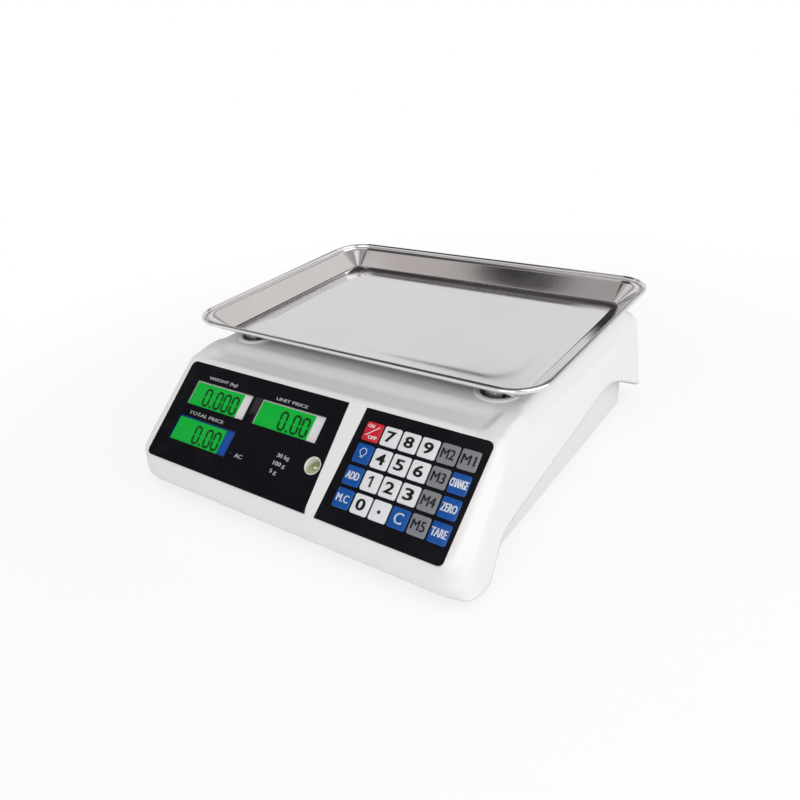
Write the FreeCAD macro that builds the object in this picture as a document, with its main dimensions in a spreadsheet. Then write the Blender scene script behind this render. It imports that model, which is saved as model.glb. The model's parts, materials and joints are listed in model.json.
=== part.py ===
"""Retail price scale: a counter-top price-computing scale as an assembly of separate pieces.

Frame: millimetres, +X to the operator's right, +Y away from the operator, +Z up. The origin is on
the table, in the middle of the scale. The operator's panel slopes back at the front (-Y) and the
customer's window is in the rear wall (+Y).
"""
import FreeCAD, Part
import Sketcher
import math
import os
from types import SimpleNamespace

FreeVector = FreeCAD.Vector

# Every driving dimension, in millimetres or degrees, with what it sets.
DRIVING = [
    ("body_wide", 331.0, "width over the skirts at their lower edge"),
    ("body_deep", 342.0, "depth of the housing at its lower edge"),
    ("body_corner", 22.0, "plan radius of the housing's corners"),
    ("body_draft", 5.5, "lean of the housing's walls, degrees"),
    ("skirt_lift", 9.0, "height of the housing's lower edge over the table"),
    ("shoulder_level", 91.0, "height of the shoulder round the plateau"),
    ("shoulder_round", 13.0, "radius of the shoulder's outer edge"),
    ("knee_round", 30.0, "radius between the sloping shoulder and the level one"),
    ("shell_wall", 2.6, "wall of the upper housing"),
    ("slope", 38.23, "slope of the operator's panel, degrees"),
    ("panel_inset", 1.1, "distance of the panel's lower line behind the housing's front edge"),
    ("panel_level", 37.7, "height of the panel's lower line"),
    ("panel_long", 89.4, "length of the panel up its slope"),
    ("console_wide", 305.0, "width of the raised console that holds the panel"),
    ("console_rise", 3.0, "height of the console over the shoulders beside it"),
    ("console_wall", 3.5, "wall of the console under the panel"),
    ("console_brow", 5.0, "length of the console's brow above the panel"),
    ("console_root", 16.0, "height of the console's front face, and depth of its root in the housing"),
    ("console_round", 2.6, "radius of the console's edges"),
    ("brow_round", 7.0, "radius of the console's upper edge"),
    ("saddle_wide", 14.0, "width of the ridge that joins the console to the plateau at each side"),
    ("saddle_inset", 1.0, "distance of that ridge inside the console's side"),
    ("saddle_dip", 0.6, "depth of that ridge's level part below the plateau's top"),
    ("saddle_sink", 2.2, "depth of that ridge's front end below the brow's sharp corner"),
    ("saddle_reach", 8.0, "length of that ridge's level part in front of the plateau"),
    ("saddle_round", 3.2, "radius of that ridge's edges"),
    ("plateau_side", 12.0, "plateau beyond the leg collars at each side"),
    ("plateau_front", 8.5, "plateau in front of the front leg collars"),
    ("plateau_rear", 7.5, "plateau behind the rear leg collars"),
    ("plateau_rise", 7.0, "height of the plateau over the shoulder"),
    ("plateau_corner", 11.0, "plan radius of the plateau's corners"),
    ("plateau_round", 3.5, "radius of the plateau's upper edge"),
    ("arch_start", 140.0, "distance in front of the middle where the side arch starts"),
    ("arch_end", 173.5, "distance behind the middle where the side arch ends"),
    ("arch_front_level", 33.5, "height of the arch's front knee"),
    ("arch_front_run", 23.0, "distance from the arch's start back to its front knee"),
    ("arch_top_level", 55.5, "height of the arch's upper knee, before its rounding"),
    ("arch_top_place", 86.0, "distance of the arch's upper knee behind the middle"),
    ("arch_front_round", 25.0, "radius of the arch's front knee"),
    ("arch_top_round", 80.0, "radius of the arch's upper knee"),
    ("tray_wide", 304.0, "width of the lower housing"),
    ("tray_front_gap", 22.0, "distance of the lower housing behind the housing's front edge"),
    ("tray_cup_gap", 8.2, "gap between the rear leg cups and the lower housing's rear wall"),
    ("tray_corner", 18.0, "plan radius of the lower housing's corners"),
    ("tray_lift", 7.0, "height of the lower housing's underside"),
    ("tray_floor", 3.0, "thickness of the lower housing's floor"),
    ("tray_wall", 2.5, "wall of the lower housing"),
    ("tray_top", 60.0, "height of the top of the lower housing's walls"),
    ("tray_slope_gap", 4.0, "gap between the lower housing's wall and the console above it"),
    ("window_top_left", 147.7, "distance of the display window's upper left corner from the middle"),
    ("window_low_left", 145.9, "distance of the display window's lower left corner from the middle"),
    ("window_top_right", 26.3, "place of the display window's upper right corner"),
    ("window_low_right", 30.3, "place of the display window's lower right corner"),
    ("bezel_top_left", 42.8, "place of the keypad bezel's upper left corner"),
    ("bezel_low_left", 39.9, "place of the keypad bezel's lower left corner"),
    ("bezel_top_right", 150.0, "place of the keypad bezel's upper right corner"),
    ("bezel_low_right", 147.2, "place of the keypad bezel's lower right corner"),
    ("panel_corner", 5.0, "radius of the panels' outer corners"),
    ("panel_thick", 1.6, "thickness of the display window and of the keypad bezel"),
    ("panel_sunk", 0.3, "depth of both panels below the console's face"),
    ("panel_gap", 0.15, "gap round both panels in their recesses"),
    ("panel_ledge", 2.0, "width of the ledge that both panels lie on"),
    ("lcd_glass", 2.8, "thickness of a liquid crystal display"),
    ("lcd_tall", 22.4, "height of a liquid crystal display"),
    ("lcd_wide", 67.6, "width of a liquid crystal display"),
    ("lcd_left", 131.9, "distance of the left displays' outer edge from the middle"),
    ("lcd_upper_foot", 51.1, "distance of the upper displays' foot up the panel"),
    ("lcd_lower_foot", 18.5, "distance of the lower display's foot up the panel"),
    ("lcd_unit_left", 54.8, "distance of the unit price display's left edge from the middle"),
    ("board_thick", 1.6, "thickness of every circuit board"),
    ("level_place", 19.6, "place of the bubble level across the panel"),
    ("level_up", 35.1, "distance of the bubble level up the panel"),
    ("level_wide", 14.4, "diameter of the bubble level's tube"),
    ("level_tube_wall", 0.9, "wall of the bubble level's tube"),
    ("level_long", 15.0, "length of the bubble level's tube"),
    ("level_depth", 5.2, "depth of the level vial's middle below the panel"),
    ("key_wide", 14.5, "width of a key"),
    ("key_tall", 14.7, "height of a key up the slope"),
    ("key_pitch", 16.0, "distance between key columns"),
    ("key_row_pitch", 17.4, "distance between key rows"),
    ("key_first", 56.8, "place of the first key column"),
    ("key_lowest", 20.1, "distance of the lowest key row up the panel"),
    ("key_corner", 1.4, "corner radius of a key"),
    ("key_proud", 1.1, "height of a key over its bezel"),
    ("key_gap", 0.2, "gap between a key and its hole in the bezel"),
    ("key_flange", 0.5, "width of the flange that keeps a key behind the bezel"),
    ("key_flange_thick", 1.2, "thickness of that flange"),
    ("key_travel", 0.7, "travel of a key"),
    ("key_float", 0.15, "gap between a resting key's flange and the bezel"),
    ("mat_thick", 1.2, "thickness of the rubber mat under the keys"),
    ("pan_wide", 340.0, "width of the pan over its rim"),
    ("pan_deep", 240.0, "depth of the pan over its rim"),
    ("pan_gap", 5.2, "gap between the plateau and the pan's underside"),
    ("pan_tall", 18.8, "height of the pan from its underside to the top of its rim"),
    ("pan_sheet", 0.8, "sheet thickness of the pan"),
    ("pan_floor_corner", 6.0, "corner radius of the pan's floor"),
    ("pan_wall_lean", 53.0, "lean of the pan's walls, degrees from upright"),
    ("rim_bead", 4.4, "width and height of the pan's rolled rim"),
    ("leg_across", 245.0, "distance between the left and right pan legs"),
    ("leg_along", 167.0, "distance between the front and rear pan legs"),
    ("leg_rear", 47.5, "distance of the rear pan legs in front of the housing's rear edge"),
    ("leg_wide", 23.0, "diameter of a pan leg"),
    ("leg_hole_gap", 2.5, "gap round a pan leg in the plateau"),
    ("collar_wide", 4.0, "width of the collar round a leg hole"),
    ("collar_rise", 1.5, "height of the collar round a leg hole"),
    ("cell_long", 130.0, "length of the load cell"),
    ("cell_wide", 30.0, "width of the load cell"),
    ("cell_tall", 22.0, "height of the load cell"),
    ("cell_lift", 9.0, "height of the load cell over the lower housing's underside"),
    ("cell_seat", 32.0, "length of the seat at each end of the load cell"),
    ("cell_bolt_first", 8.0, "distance of the outer bolt from the load cell's end"),
    ("cell_bolt_pitch", 15.0, "distance between the two bolts at a load cell's end"),
    ("bolt_wide", 6.0, "diameter of the load cell's bolts"),
    ("bolt_head_wide", 10.0, "diameter of a bolt's head"),
    ("bolt_head_tall", 3.6, "height of a bolt's head"),
    ("bolt_reach", 14.0, "depth that the bolts reach into the load cell"),
    ("bolt_gap", 0.1, "gap round a bolt"),
    ("cell_air", 4.0, "gap between the load cell and what it must not touch"),
    ("beam_wide", 24.0, "width of the platform's side beams"),
    ("bridge_wide", 34.0, "width of the platform's middle beam"),
    ("beam_thick", 5.0, "thickness of the platform's beams"),
    ("beam_over", 12.0, "length of a side beam beyond a pan leg's middle"),
    ("cup_wall", 3.0, "wall of the rubber cup under a pan leg"),
    ("cup_floor", 2.5, "floor of that cup"),
    ("cup_deep", 3.5, "depth of that cup"),
    ("cup_gap", 0.3, "gap between a pan leg and its cup"),
    ("platform_travel", 0.5, "how far the platform sinks at full load"),
    ("foot_side", 21.0, "distance of the feet from the lower housing's sides"),
    ("foot_end", 26.0, "distance of the feet from the lower housing's ends"),
    ("foot_wide", 24.0, "diameter of a foot's rubber pad"),
    ("foot_pad_tall", 2.6, "height of a foot's rubber pad"),
    ("foot_pin_wide", 5.0, "diameter of the pad's pin inside the thumb wheel"),
    ("foot_pin_tall", 2.6, "height of that pin"),
    ("foot_gap", 0.08, "running gap of the foot's pin and of its stud"),
    ("wheel_wide", 27.0, "diameter of a foot's thumb wheel"),
    ("wheel_gap", 0.3, "gap over and under the thumb wheel"),
    ("stud_wide", 8.0, "diameter of a foot's threaded stud"),
    ("foot_travel", 5.0, "how far a foot screws out"),
    ("stud_bite", 10.0, "length of the stud still in its insert when the foot is screwed out"),
    ("insert_wide", 14.0, "diameter of a foot's brass insert"),
    ("insert_tall", 13.0, "height of a foot's brass insert over the tray's floor"),
    ("insert_flange", 2.0, "width of the insert's flange"),
    ("screw_side", 8.5, "distance of the housing screws from the lower housing's sides"),
    ("screw_end", 53.0, "distance of the outer housing screws from the lower housing's ends"),
    ("screw_middle", 34.0, "distance of the middle housing screws behind the middle"),
    ("screw_wide", 3.0, "diameter of a housing screw"),
    ("screw_head_wide", 5.6, "diameter of a housing screw's head"),
    ("screw_head_tall", 2.2, "height of a housing screw's head"),
    ("screw_gap", 0.1, "gap round a housing screw"),
    ("boss_wide", 8.4, "diameter of the bosses that take the housing screws"),
    ("boss_meet", 24.0, "height where the upper and lower bosses meet"),
    ("screw_bite", 9.0, "length of a housing screw inside its upper boss"),
    ("rear_window_wide", 214.0, "width of the customer's window"),
    ("rear_window_tall", 36.0, "height of the customer's window"),
    ("rear_window_up", 25.0, "distance of the customer's window up the rear wall"),
    ("rear_lcd_wide", 58.0, "width of a customer's display"),
    ("rear_lcd_tall", 22.0, "height of a customer's display"),
    ("rear_lcd_pitch", 68.0, "distance between the customer's displays"),
    ("battery_wide", 100.0, "width of the battery"),
    ("battery_deep", 68.0, "depth of the battery as it lies"),
    ("battery_tall", 46.0, "height of the battery as it lies"),
    ("battery_place", 52.0, "distance of the battery's middle in front of the middle"),
    ("door_lap", 4.0, "width by which the battery door laps over its opening"),
    ("door_gap", 0.2, "gap round the battery door"),
    ("door_thick", 1.8, "thickness of the battery door"),
    ("main_board_wide", 84.0, "width of the main board"),
    ("main_board_deep", 62.0, "depth of the main board"),
    ("main_board_left", 104.0, "distance of the main board's left edge from the middle"),
    ("main_board_gap", 17.0, "gap between the load cell and the main board behind it"),
    ("standoff_tall", 8.0, "height of the main board over the tray's floor"),
    ("standoff_wide", 7.0, "diameter of a main board's standoff"),
    ("core_wide", 48.0, "width of the transformer's core"),
    ("core_deep", 22.0, "thickness of the transformer's core"),
    ("core_tall", 40.0, "height of the transformer's core"),
    ("coil_wide", 30.0, "width of the transformer's winding"),
    ("coil_deep", 34.0, "thickness of the transformer's winding"),
    ("core_place", 44.0, "place of the transformer across the scale"),
    ("core_back", 64.0, "distance of the transformer behind the pan's middle"),
    ("inlet_place", 100.0, "place of the mains inlet across the rear wall"),
    ("inlet_up", 13.0, "distance of the mains inlet up the rear wall"),
    ("inlet_wide", 15.2, "width of the inlet's socket"),
    ("inlet_tall", 9.2, "height of the inlet's socket"),
    ("inlet_deep", 11.0, "depth of the inlet's socket"),
    ("inlet_wall", 1.6, "wall of the inlet"),
    ("inlet_flange", 3.0, "width of the inlet's flange"),
    ("inlet_pin_wide", 2.4, "diameter of the inlet's pins"),
    ("inlet_pin_pitch", 8.6, "distance between the inlet's pins"),
    ("inlet_pin_long", 9.0, "length of the inlet's pins"),
]

SHEET_NAME = "Sizes"


class Size:
    """A length or an angle: its number, and the formula that gives it from the sheet."""

    def __init__(self, number, formula):
        self.number = number
        self.formula = formula

    def __add__(self, other):
        return joined(self, "+", other, self.number + number_of(other))

    def __sub__(self, other):
        return joined(self, "-", other, self.number - number_of(other))

    def __mul__(self, other):
        return joined(self, "*", other, self.number * number_of(other))

    def __truediv__(self, other):
        return joined(self, "/", other, self.number / number_of(other))

    def __neg__(self):
        return Size(-self.number, f"(-1 * {self.formula})")


def number_of(value):
    return value.number if isinstance(value, Size) else float(value)


def formula_of(value):
    return value.formula if isinstance(value, Size) else f"({float(value):.6f})"


def joined(left, sign, right, number):
    return Size(number, f"({left.formula} {sign} {formula_of(right)})")


def sine(angle):
    return Size(math.sin(math.radians(angle.number)), f"sin({angle.formula})")


def cosine(angle):
    return Size(math.cos(math.radians(angle.number)), f"cos({angle.formula})")


def tangent(angle):
    return Size(math.tan(math.radians(angle.number)), f"tan({angle.formula})")


def bind(thing, prop, size):
    """Ties a property to the sheet, or just sets it where the size is a plain number."""
    if isinstance(size, Size):
        thing.setExpression(prop, size.formula)
    else:
        setattr(thing, prop, size)


doc = FreeCAD.newDocument("price_scale")
sheet = doc.addObject("Spreadsheet::Sheet", SHEET_NAME)
for row, (alias, value, note) in enumerate(DRIVING, start=1):
    sheet.set(f"A{row}", alias)
    sheet.set(f"B{row}", str(value))
    sheet.set(f"C{row}", note)
    sheet.setAlias(f"B{row}", alias)
doc.recompute()
size = SimpleNamespace(**{alias: Size(value, f"{SHEET_NAME}.{alias}") for alias, value, note in DRIVING})
ZERO = Size(0.0, "0")
nodes = {}


# ---------------------------------------------------------------- sketches and features

def new_body(label):
    body = doc.addObject("PartDesign::Body", label)
    body.Label = label
    return body


def new_sketch(body, name, role="XY_Plane", lift=ZERO):
    """A sketch on one of the body's own origin planes, lifted along that plane's normal."""
    sketch = body.newObject("Sketcher::SketchObject", name)
    plane = next(feature for feature in body.Origin.OriginFeatures if feature.Role == role)
    sketch.AttachmentSupport = [(plane, "")]
    sketch.MapMode = "FlatFace"
    bind(sketch, "AttachmentOffset.Base.z", ZERO + lift)
    return sketch


def fix_point(sketch, index, end, point):
    """Holds one end of a sketch line at a place worked out from the sheet."""
    for kind, place in zip(("DistanceX", "DistanceY"), point):
        number = number_of(place)
        constraint = sketch.addConstraint(Sketcher.Constraint(kind, -1, 1, index, end, number))
        sketch.setExpression(f"Constraints[{constraint}]", formula_of(place))


def draw_polygon(sketch, points):
    """A closed outline of straight lines through the points."""
    first = sketch.GeometryCount
    count = len(points)
    ends = [FreeVector(number_of(x), number_of(y), 0) for x, y in points]
    for index in range(count):
        sketch.addGeometry(Part.LineSegment(ends[index], ends[(index + 1) % count]))
    for index in range(count):
        sketch.addConstraint(Sketcher.Constraint(
            "Coincident", first + index, 2, first + (index + 1) % count, 1))
    for index, point in enumerate(points):
        fix_point(sketch, first + index, 1, point)


def draw_round_box(sketch, left, right, low, high, radius):
    """A rectangle with round corners: four lines joined by four quarter arcs."""
    first = sketch.GeometryCount
    lines = [
        ((left + radius, low), (right - radius, low)),
        ((right, low + radius), (right, high - radius)),
        ((right - radius, high), (left + radius, high)),
        ((left, high - radius), (left, low + radius)),
    ]
    centres = [
        (right - radius, low + radius),
        (right - radius, high - radius),
        (left + radius, high - radius),
        (left + radius, low + radius),
    ]
    for start, end in lines:
        sketch.addGeometry(Part.LineSegment(
            FreeVector(start[0].number, start[1].number, 0),
            FreeVector(end[0].number, end[1].number, 0)))
    for corner, (centre_x, centre_y) in enumerate(centres):
        circle = Part.Circle(
            FreeVector(centre_x.number, centre_y.number, 0), FreeVector(0, 0, 1), radius.number)
        turn = math.pi / 2
        sketch.addGeometry(Part.ArcOfCircle(circle, (corner - 1) * turn, corner * turn))
    for index, (start, end) in enumerate(lines):
        fix_point(sketch, first + index, 1, start)
        fix_point(sketch, first + index, 2, end)
    for corner in range(4):
        arc = first + 4 + corner
        sketch.addConstraint(Sketcher.Constraint("Coincident", first + corner, 2, arc, 1))
        sketch.addConstraint(Sketcher.Constraint("Coincident", first + (corner + 1) % 4, 1, arc, 2))
        constraint = sketch.addConstraint(Sketcher.Constraint("Radius", arc, radius.number))
        sketch.setExpression(f"Constraints[{constraint}]", radius.formula)


def draw_circle(sketch, centre_x, centre_y, radius):
    index = sketch.addGeometry(Part.Circle(
        FreeVector(number_of(centre_x), number_of(centre_y), 0), FreeVector(0, 0, 1), radius.number))
    fix_point(sketch, index, 3, (centre_x, centre_y))
    constraint = sketch.addConstraint(Sketcher.Constraint("Radius", index, radius.number))
    sketch.setExpression(f"Constraints[{constraint}]", radius.formula)


def draw_box(sketch, left, right, low, high):
    draw_polygon(sketch, [(left, low), (right, low), (right, high), (left, high)])


def add_pad(body, sketch, length, lean=None, both_ways=False, downward=False):
    pad = body.newObject("PartDesign::Pad", sketch.Name + "_pad")
    pad.Profile = sketch
    pad.SideType = "Symmetric" if both_ways else "One side"
    pad.Reversed = downward
    bind(pad, "Length", length)
    if lean is not None:
        bind(pad, "TaperAngle", lean)
    return pad


def add_pocket(body, sketch, depth=None, both_ways=False, upward=False):
    """Cuts the sketch's outline down to a depth, or right through where there is no depth."""
    pocket = body.newObject("PartDesign::Pocket", sketch.Name + "_pocket")
    pocket.Profile = sketch
    pocket.SideType = "Symmetric" if both_ways else "One side"
    pocket.Reversed = upward
    if depth is None:
        pocket.Type = "ThroughAll"
    else:
        bind(pocket, "Length", depth)
    return pocket


def edges_where(shape, wanted):
    """The names of the edges for which wanted(edge) is true."""
    return [f"Edge{number}" for number, edge in enumerate(shape.Edges, start=1) if wanted(edge)]


def round_edges(body, radius, wanted):
    """A fillet along the body's edges that the test picks."""
    doc.recompute()
    base = body.Tip
    fillet = body.newObject("PartDesign::Fillet", body.Name + "_round")
    fillet.Base = (base, edges_where(base.Shape, wanted))
    bind(fillet, "Radius", radius)
    return fillet


def is_upright(edge):
    """True for a straight edge that runs mostly up the shape."""
    direction = edge.lastVertex().Point - edge.firstVertex().Point
    return edge.Curve.TypeId == "Part::GeomLine" and abs(direction.z) > 0.9 * direction.Length


def lies_at(edge, axis, place, slack=0.01):
    """True where the whole edge lies at one place along an axis."""
    box = edge.BoundBox
    low = {"x": box.XMin, "y": box.YMin, "z": box.ZMin}[axis]
    high = {"x": box.XMax, "y": box.YMax, "z": box.ZMax}[axis]
    return abs(low - place) < slack and abs(high - place) < slack


def place_turned(body, turn, across, back, up):
    """Sets a body down at a place, turned about X by an angle from the sheet."""
    body.Placement = FreeCAD.Placement(
        FreeVector(0, 0, 0), FreeCAD.Rotation(FreeVector(1, 0, 0), turn.number))
    bind(body, "Placement.Rotation.Angle", turn)
    bind(body, "Placement.Base.x", ZERO + across)
    bind(body, "Placement.Base.y", ZERO + back)
    bind(body, "Placement.Base.z", ZERO + up)


def place_on_panel(body, across=ZERO, up_slope=ZERO):
    """Panel frame: X across, Y up the slope from the panel's lower line, Z out of the panel."""
    back = -panel_front + cosine(size.slope) * up_slope
    up = size.panel_level + sine(size.slope) * up_slope
    place_turned(body, size.slope, across, back, up)


def place_on_rear(body, across=ZERO):
    """Rear wall frame: X across, Y up the wall from its lower edge, Z into the housing."""
    place_turned(body, size.body_draft + 90, across, size.body_deep / 2, size.skirt_lift)


def boolean(kind, label, **inputs):
    """A Part boolean, such as Part::Cut with Base and Tool."""
    result = doc.addObject(kind, label)
    result.Label = label
    for prop, value in inputs.items():
        setattr(result, prop, value)
    return result


def fuse_all(label, shapes):
    return boolean("Part::MultiFuse", label, Shapes=shapes)


def keep(node, thing):
    """Names the finished piece."""
    thing.Label = node
    nodes[node] = thing


# ---------------------------------------------------------------- places that pieces share

half_wide = size.body_wide / 2
half_deep = size.body_deep / 2
panel_front = half_deep - size.panel_inset
plateau_top = size.shoulder_level + size.plateau_rise
pan_underside = plateau_top + size.pan_gap
tray_inside = size.tray_lift + size.tray_floor
cell_foot = size.tray_lift + size.cell_lift
cell_top = cell_foot + size.cell_tall
beam_foot = cell_top + size.cell_air
beam_top = beam_foot + size.beam_thick
leg_foot = beam_top + size.cup_floor
panel_back = size.panel_sunk + size.panel_thick
leg_radius = size.leg_wide / 2
cup_radius = leg_radius + size.cup_gap + size.cup_wall
leg_hole_radius = leg_radius + size.leg_hole_gap
collar_radius = leg_hole_radius + size.collar_wide
rear_legs = half_deep - size.leg_rear
front_legs = rear_legs - size.leg_along
pan_middle = rear_legs - size.leg_along / 2
main_board_front = pan_middle + size.cell_wide / 2 + size.main_board_gap
plateau_front_line = front_legs - collar_radius - size.plateau_front
brow_reach = size.panel_long + size.console_brow
brow_along = -panel_front + cosine(size.slope) * brow_reach
brow_up = size.panel_level + sine(size.slope) * brow_reach
tray_front = -half_deep + size.tray_front_gap
tray_rear = rear_legs + cup_radius + size.tray_cup_gap + size.tray_wall
leg_places = [
    (size.leg_across / 2 * side, along)
    for side in (-1, 1) for along in (front_legs, rear_legs)
]
foot_across = size.tray_wide / 2 - size.foot_side
foot_places = {
    "fl": (-foot_across, tray_front + size.foot_end),
    "fr": (foot_across, tray_front + size.foot_end),
    "rl": (-foot_across, tray_rear - size.foot_end),
    "rr": (foot_across, tray_rear - size.foot_end),
}
screw_places = [
    ((size.tray_wide / 2 - size.screw_side) * side, along)
    for side in (-1, 1)
    for along in (tray_front + size.screw_end, size.screw_middle, tray_rear - size.screw_end)
]
bolt_reaches = [size.cell_bolt_first, size.cell_bolt_first + size.cell_bolt_pitch]
fixed_bolts = [-size.cell_long / 2 + reach for reach in bolt_reaches]
free_bolts = [size.cell_long / 2 - reach for reach in bolt_reaches]


def slope_line(depth, up):
    """Where the plane at a depth under the panel's face reaches a height: distance along Y."""
    rise = up - size.panel_level
    return -panel_front + rise / tangent(size.slope) + depth / sine(size.slope)


def slope_height(depth, along):
    """The height of the plane at a depth under the panel's face: the reverse of slope_line."""
    run = along + panel_front - depth / sine(size.slope)
    return size.panel_level + run * tangent(size.slope)


# ---------------------------------------------------------------- upper housing

def faces_up(shape, face, point):
    """True where a face looks more upwards than sideways at a point on it."""
    u, v = face.Surface.parameter(point)
    return face.normalAt(u, v).z > 0.5


def upper_rim(shape):
    """The names of the edges between the faces that look up and those that look sideways."""
    names = []
    for number, edge in enumerate(shape.Edges, start=1):
        middle = edge.valueAt((edge.FirstParameter + edge.LastParameter) / 2)
        sides = [faces_up(shape, face, middle) for face in shape.ancestorsOfType(edge, Part.Face)]
        if sides.count(True) == 1 and edge.BoundBox.ZMin > size.panel_level.number / 2:
            names.append(f"Edge{number}")
    return names


def housing_block(label, inset, foot):
    """The drafted housing with its sloping front, level shoulder and round upper rim.

    inset moves every wall in and the shoulder down; foot is the height of the lower edge.
    """
    block = new_body(label)
    shrink = (foot - size.skirt_lift) * tangent(size.body_draft) + inset
    plan = new_sketch(block, label + "_plan", lift=foot)
    draw_round_box(plan, -half_wide + shrink, half_wide - shrink,
                   -half_deep + shrink, half_deep - shrink, size.body_corner - inset)
    top = size.shoulder_level - inset
    add_pad(block, plan, top - foot, lean=-size.body_draft)
    depth = size.console_rise + inset
    out = -half_deep - size.body_corner
    over = top + size.body_corner
    side = new_sketch(block, label + "_slope", role="YZ_Plane")
    draw_polygon(side, [
        (slope_line(depth, top), top),
        (slope_line(depth, top), over),
        (out, over),
        (out, slope_height(depth, out)),
    ])
    add_pocket(block, side, both_ways=True)
    knee = slope_line(depth, top).number
    round_edges(block, size.knee_round,
                lambda edge: lies_at(edge, "z", top.number) and lies_at(edge, "y", knee))
    doc.recompute()
    base = block.Tip
    rim = block.newObject("PartDesign::Fillet", label + "_rim")
    rim.Base = (base, upper_rim(base.Shape))
    bind(rim, "Radius", size.shoulder_round - inset)
    return block


def wall_place(up):
    """Distance from the middle to the housing's front and rear walls at a height."""
    return half_deep - (up - size.skirt_lift) * tangent(size.body_draft)


def console_block(label):
    """The raised console: flush with the front wall at its foot, with a brow above the panel."""
    block = new_body(label)
    side = new_sketch(block, label + "_side", role="YZ_Plane")
    foot = size.panel_level - size.console_root
    draw_polygon(side, [
        (-panel_front, size.panel_level),
        (-wall_place(foot), foot),
        (-wall_place(foot) + size.console_root, foot),
        (brow_along + size.console_brow, size.shoulder_level - size.console_root),
        (brow_along + size.console_brow * 2, size.shoulder_level - size.console_rise),
        (brow_along, brow_up),
    ])
    add_pad(block, side, size.console_wide, both_ways=True)
    brow_level = brow_up.number
    round_edges(block, size.brow_round, lambda edge: lies_at(edge, "z", brow_level))
    level = size.panel_level.number
    round_edges(block, size.console_round, lambda edge: lies_at(edge, "z", level))
    side_place = size.console_wide.number / 2
    round_edges(block, size.console_round,
                lambda edge: (lies_at(edge, "x", side_place) or lies_at(edge, "x", -side_place))
                and over_shoulder(edge.CenterOfMass))
    return block


def over_shoulder(point):
    """True for a point above the sloping shoulder's plane and the level one's."""
    sloping = slope_height(size.console_rise, ZERO + point.y).number
    return point.z > min(sloping, size.shoulder_level.number)


def saddle_block(label, side, inset):
    """The ridge at one side of the valley, from the console's brow back to the plateau's top."""
    block = new_body(label)
    outer = (size.console_wide / 2 - size.saddle_inset - inset) * side
    inner = outer - (size.saddle_wide - inset * 2) * side
    profile = new_sketch(block, label + "_profile", role="YZ_Plane",
                         lift=inner if side > 0 else outer)
    front = brow_along + inset * 2
    back = plateau_front_line + size.plateau_corner
    foot = size.shoulder_level - size.console_root
    draw_polygon(profile, [
        (front, foot),
        (back, foot),
        (back, plateau_top - size.saddle_dip - inset),
        (plateau_front_line - size.saddle_reach, plateau_top - size.saddle_dip - inset),
        (front, brow_up - size.saddle_sink - inset),
    ])
    add_pad(block, profile, size.saddle_wide - inset * 2)
    level = size.shoulder_level - inset
    round_edges(block, size.saddle_round - inset,
                lambda edge: edge.BoundBox.XLength < 0.01 and edge.BoundBox.ZMin > level.number
                and edge.BoundBox.YLength > 0.01)
    return block


def plateau_block(label, inset):
    """The raised plateau under the pan, moved in by the inset, with a round upper edge."""
    block = new_body(label)
    foot = size.shoulder_level - size.console_root
    plan = new_sketch(block, label + "_plan", lift=foot)
    across = size.leg_across / 2 + collar_radius + size.plateau_side - inset
    draw_round_box(plan, -across, across,
                   plateau_front_line + inset,
                   rear_legs + collar_radius + size.plateau_rear - inset,
                   size.plateau_corner - inset)
    add_pad(block, plan, plateau_top - inset - foot)
    top = (plateau_top - inset).number
    round_edges(block, size.plateau_round - inset, lambda edge: lies_at(edge, "z", top))
    return block


def arch_cutter(label):
    """What the side arches take away: one prism right across the housing, with round knees."""
    cutter = new_body(label)
    side = new_sketch(cutter, label + "_side", role="YZ_Plane")
    knee = -size.arch_start + size.arch_front_run
    drop = size.arch_front_level - size.skirt_lift
    low = size.skirt_lift - drop
    rear_fall = (size.arch_top_level - size.skirt_lift) / (size.arch_end - size.arch_top_place)
    draw_polygon(side, [
        (-size.arch_start - size.arch_front_run, low),
        (knee, size.arch_front_level),
        (size.arch_top_place, size.arch_top_level),
        (size.arch_end + drop / rear_fall, low),
    ])
    add_pad(cutter, side, size.body_wide + size.body_corner, both_ways=True)
    front_level = size.arch_front_level.number
    top_level = size.arch_top_level.number
    round_edges(cutter, size.arch_front_round, lambda edge: lies_at(edge, "z", front_level))
    round_edges(cutter, size.arch_top_round, lambda edge: lies_at(edge, "z", top_level))
    return cutter


def panel_outline(sketch, corners, inset):
    """A panel's four-sided outline: lower left, lower right, upper right, upper left."""
    low_left, low_right, top_right, top_left = corners
    draw_polygon(sketch, [
        (low_left + inset, ZERO + inset),
        (low_right - inset, ZERO + inset),
        (top_right - inset, size.panel_long - inset),
        (top_left + inset, size.panel_long - inset),
    ])


WINDOW_CORNERS = (-size.window_low_left, size.window_low_right,
                  size.window_top_right, -size.window_top_left)
BEZEL_CORNERS = (size.bezel_low_left, size.bezel_low_right,
                 size.bezel_top_right, size.bezel_top_left)


def panel_block(label, corners, outer_side, inset, top, thick):
    """A slab in the panel frame, from a height down, with its two outer corners round."""
    slab = new_body(label)
    sketch = new_sketch(slab, label + "_outline", lift=top)
    panel_outline(sketch, corners, inset)
    add_pad(slab, sketch, thick, downward=True)
    middle = (corners[0].number + corners[1].number) / 2
    round_edges(slab, size.panel_corner - inset,
                lambda edge: is_upright(edge) and (edge.CenterOfMass.x - middle) * outer_side > 0)
    place_on_panel(slab)
    return slab


def panel_bar(label, radius, foot, top):
    """A round bar at the bubble level's place, square to the panel, between two heights."""
    bar = new_body(label)
    ring = new_sketch(bar, label + "_ring", lift=foot)
    draw_circle(ring, ZERO, ZERO, radius)
    add_pad(bar, ring, top - foot)
    place_on_panel(bar, size.level_place, size.level_up)
    return bar


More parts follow.
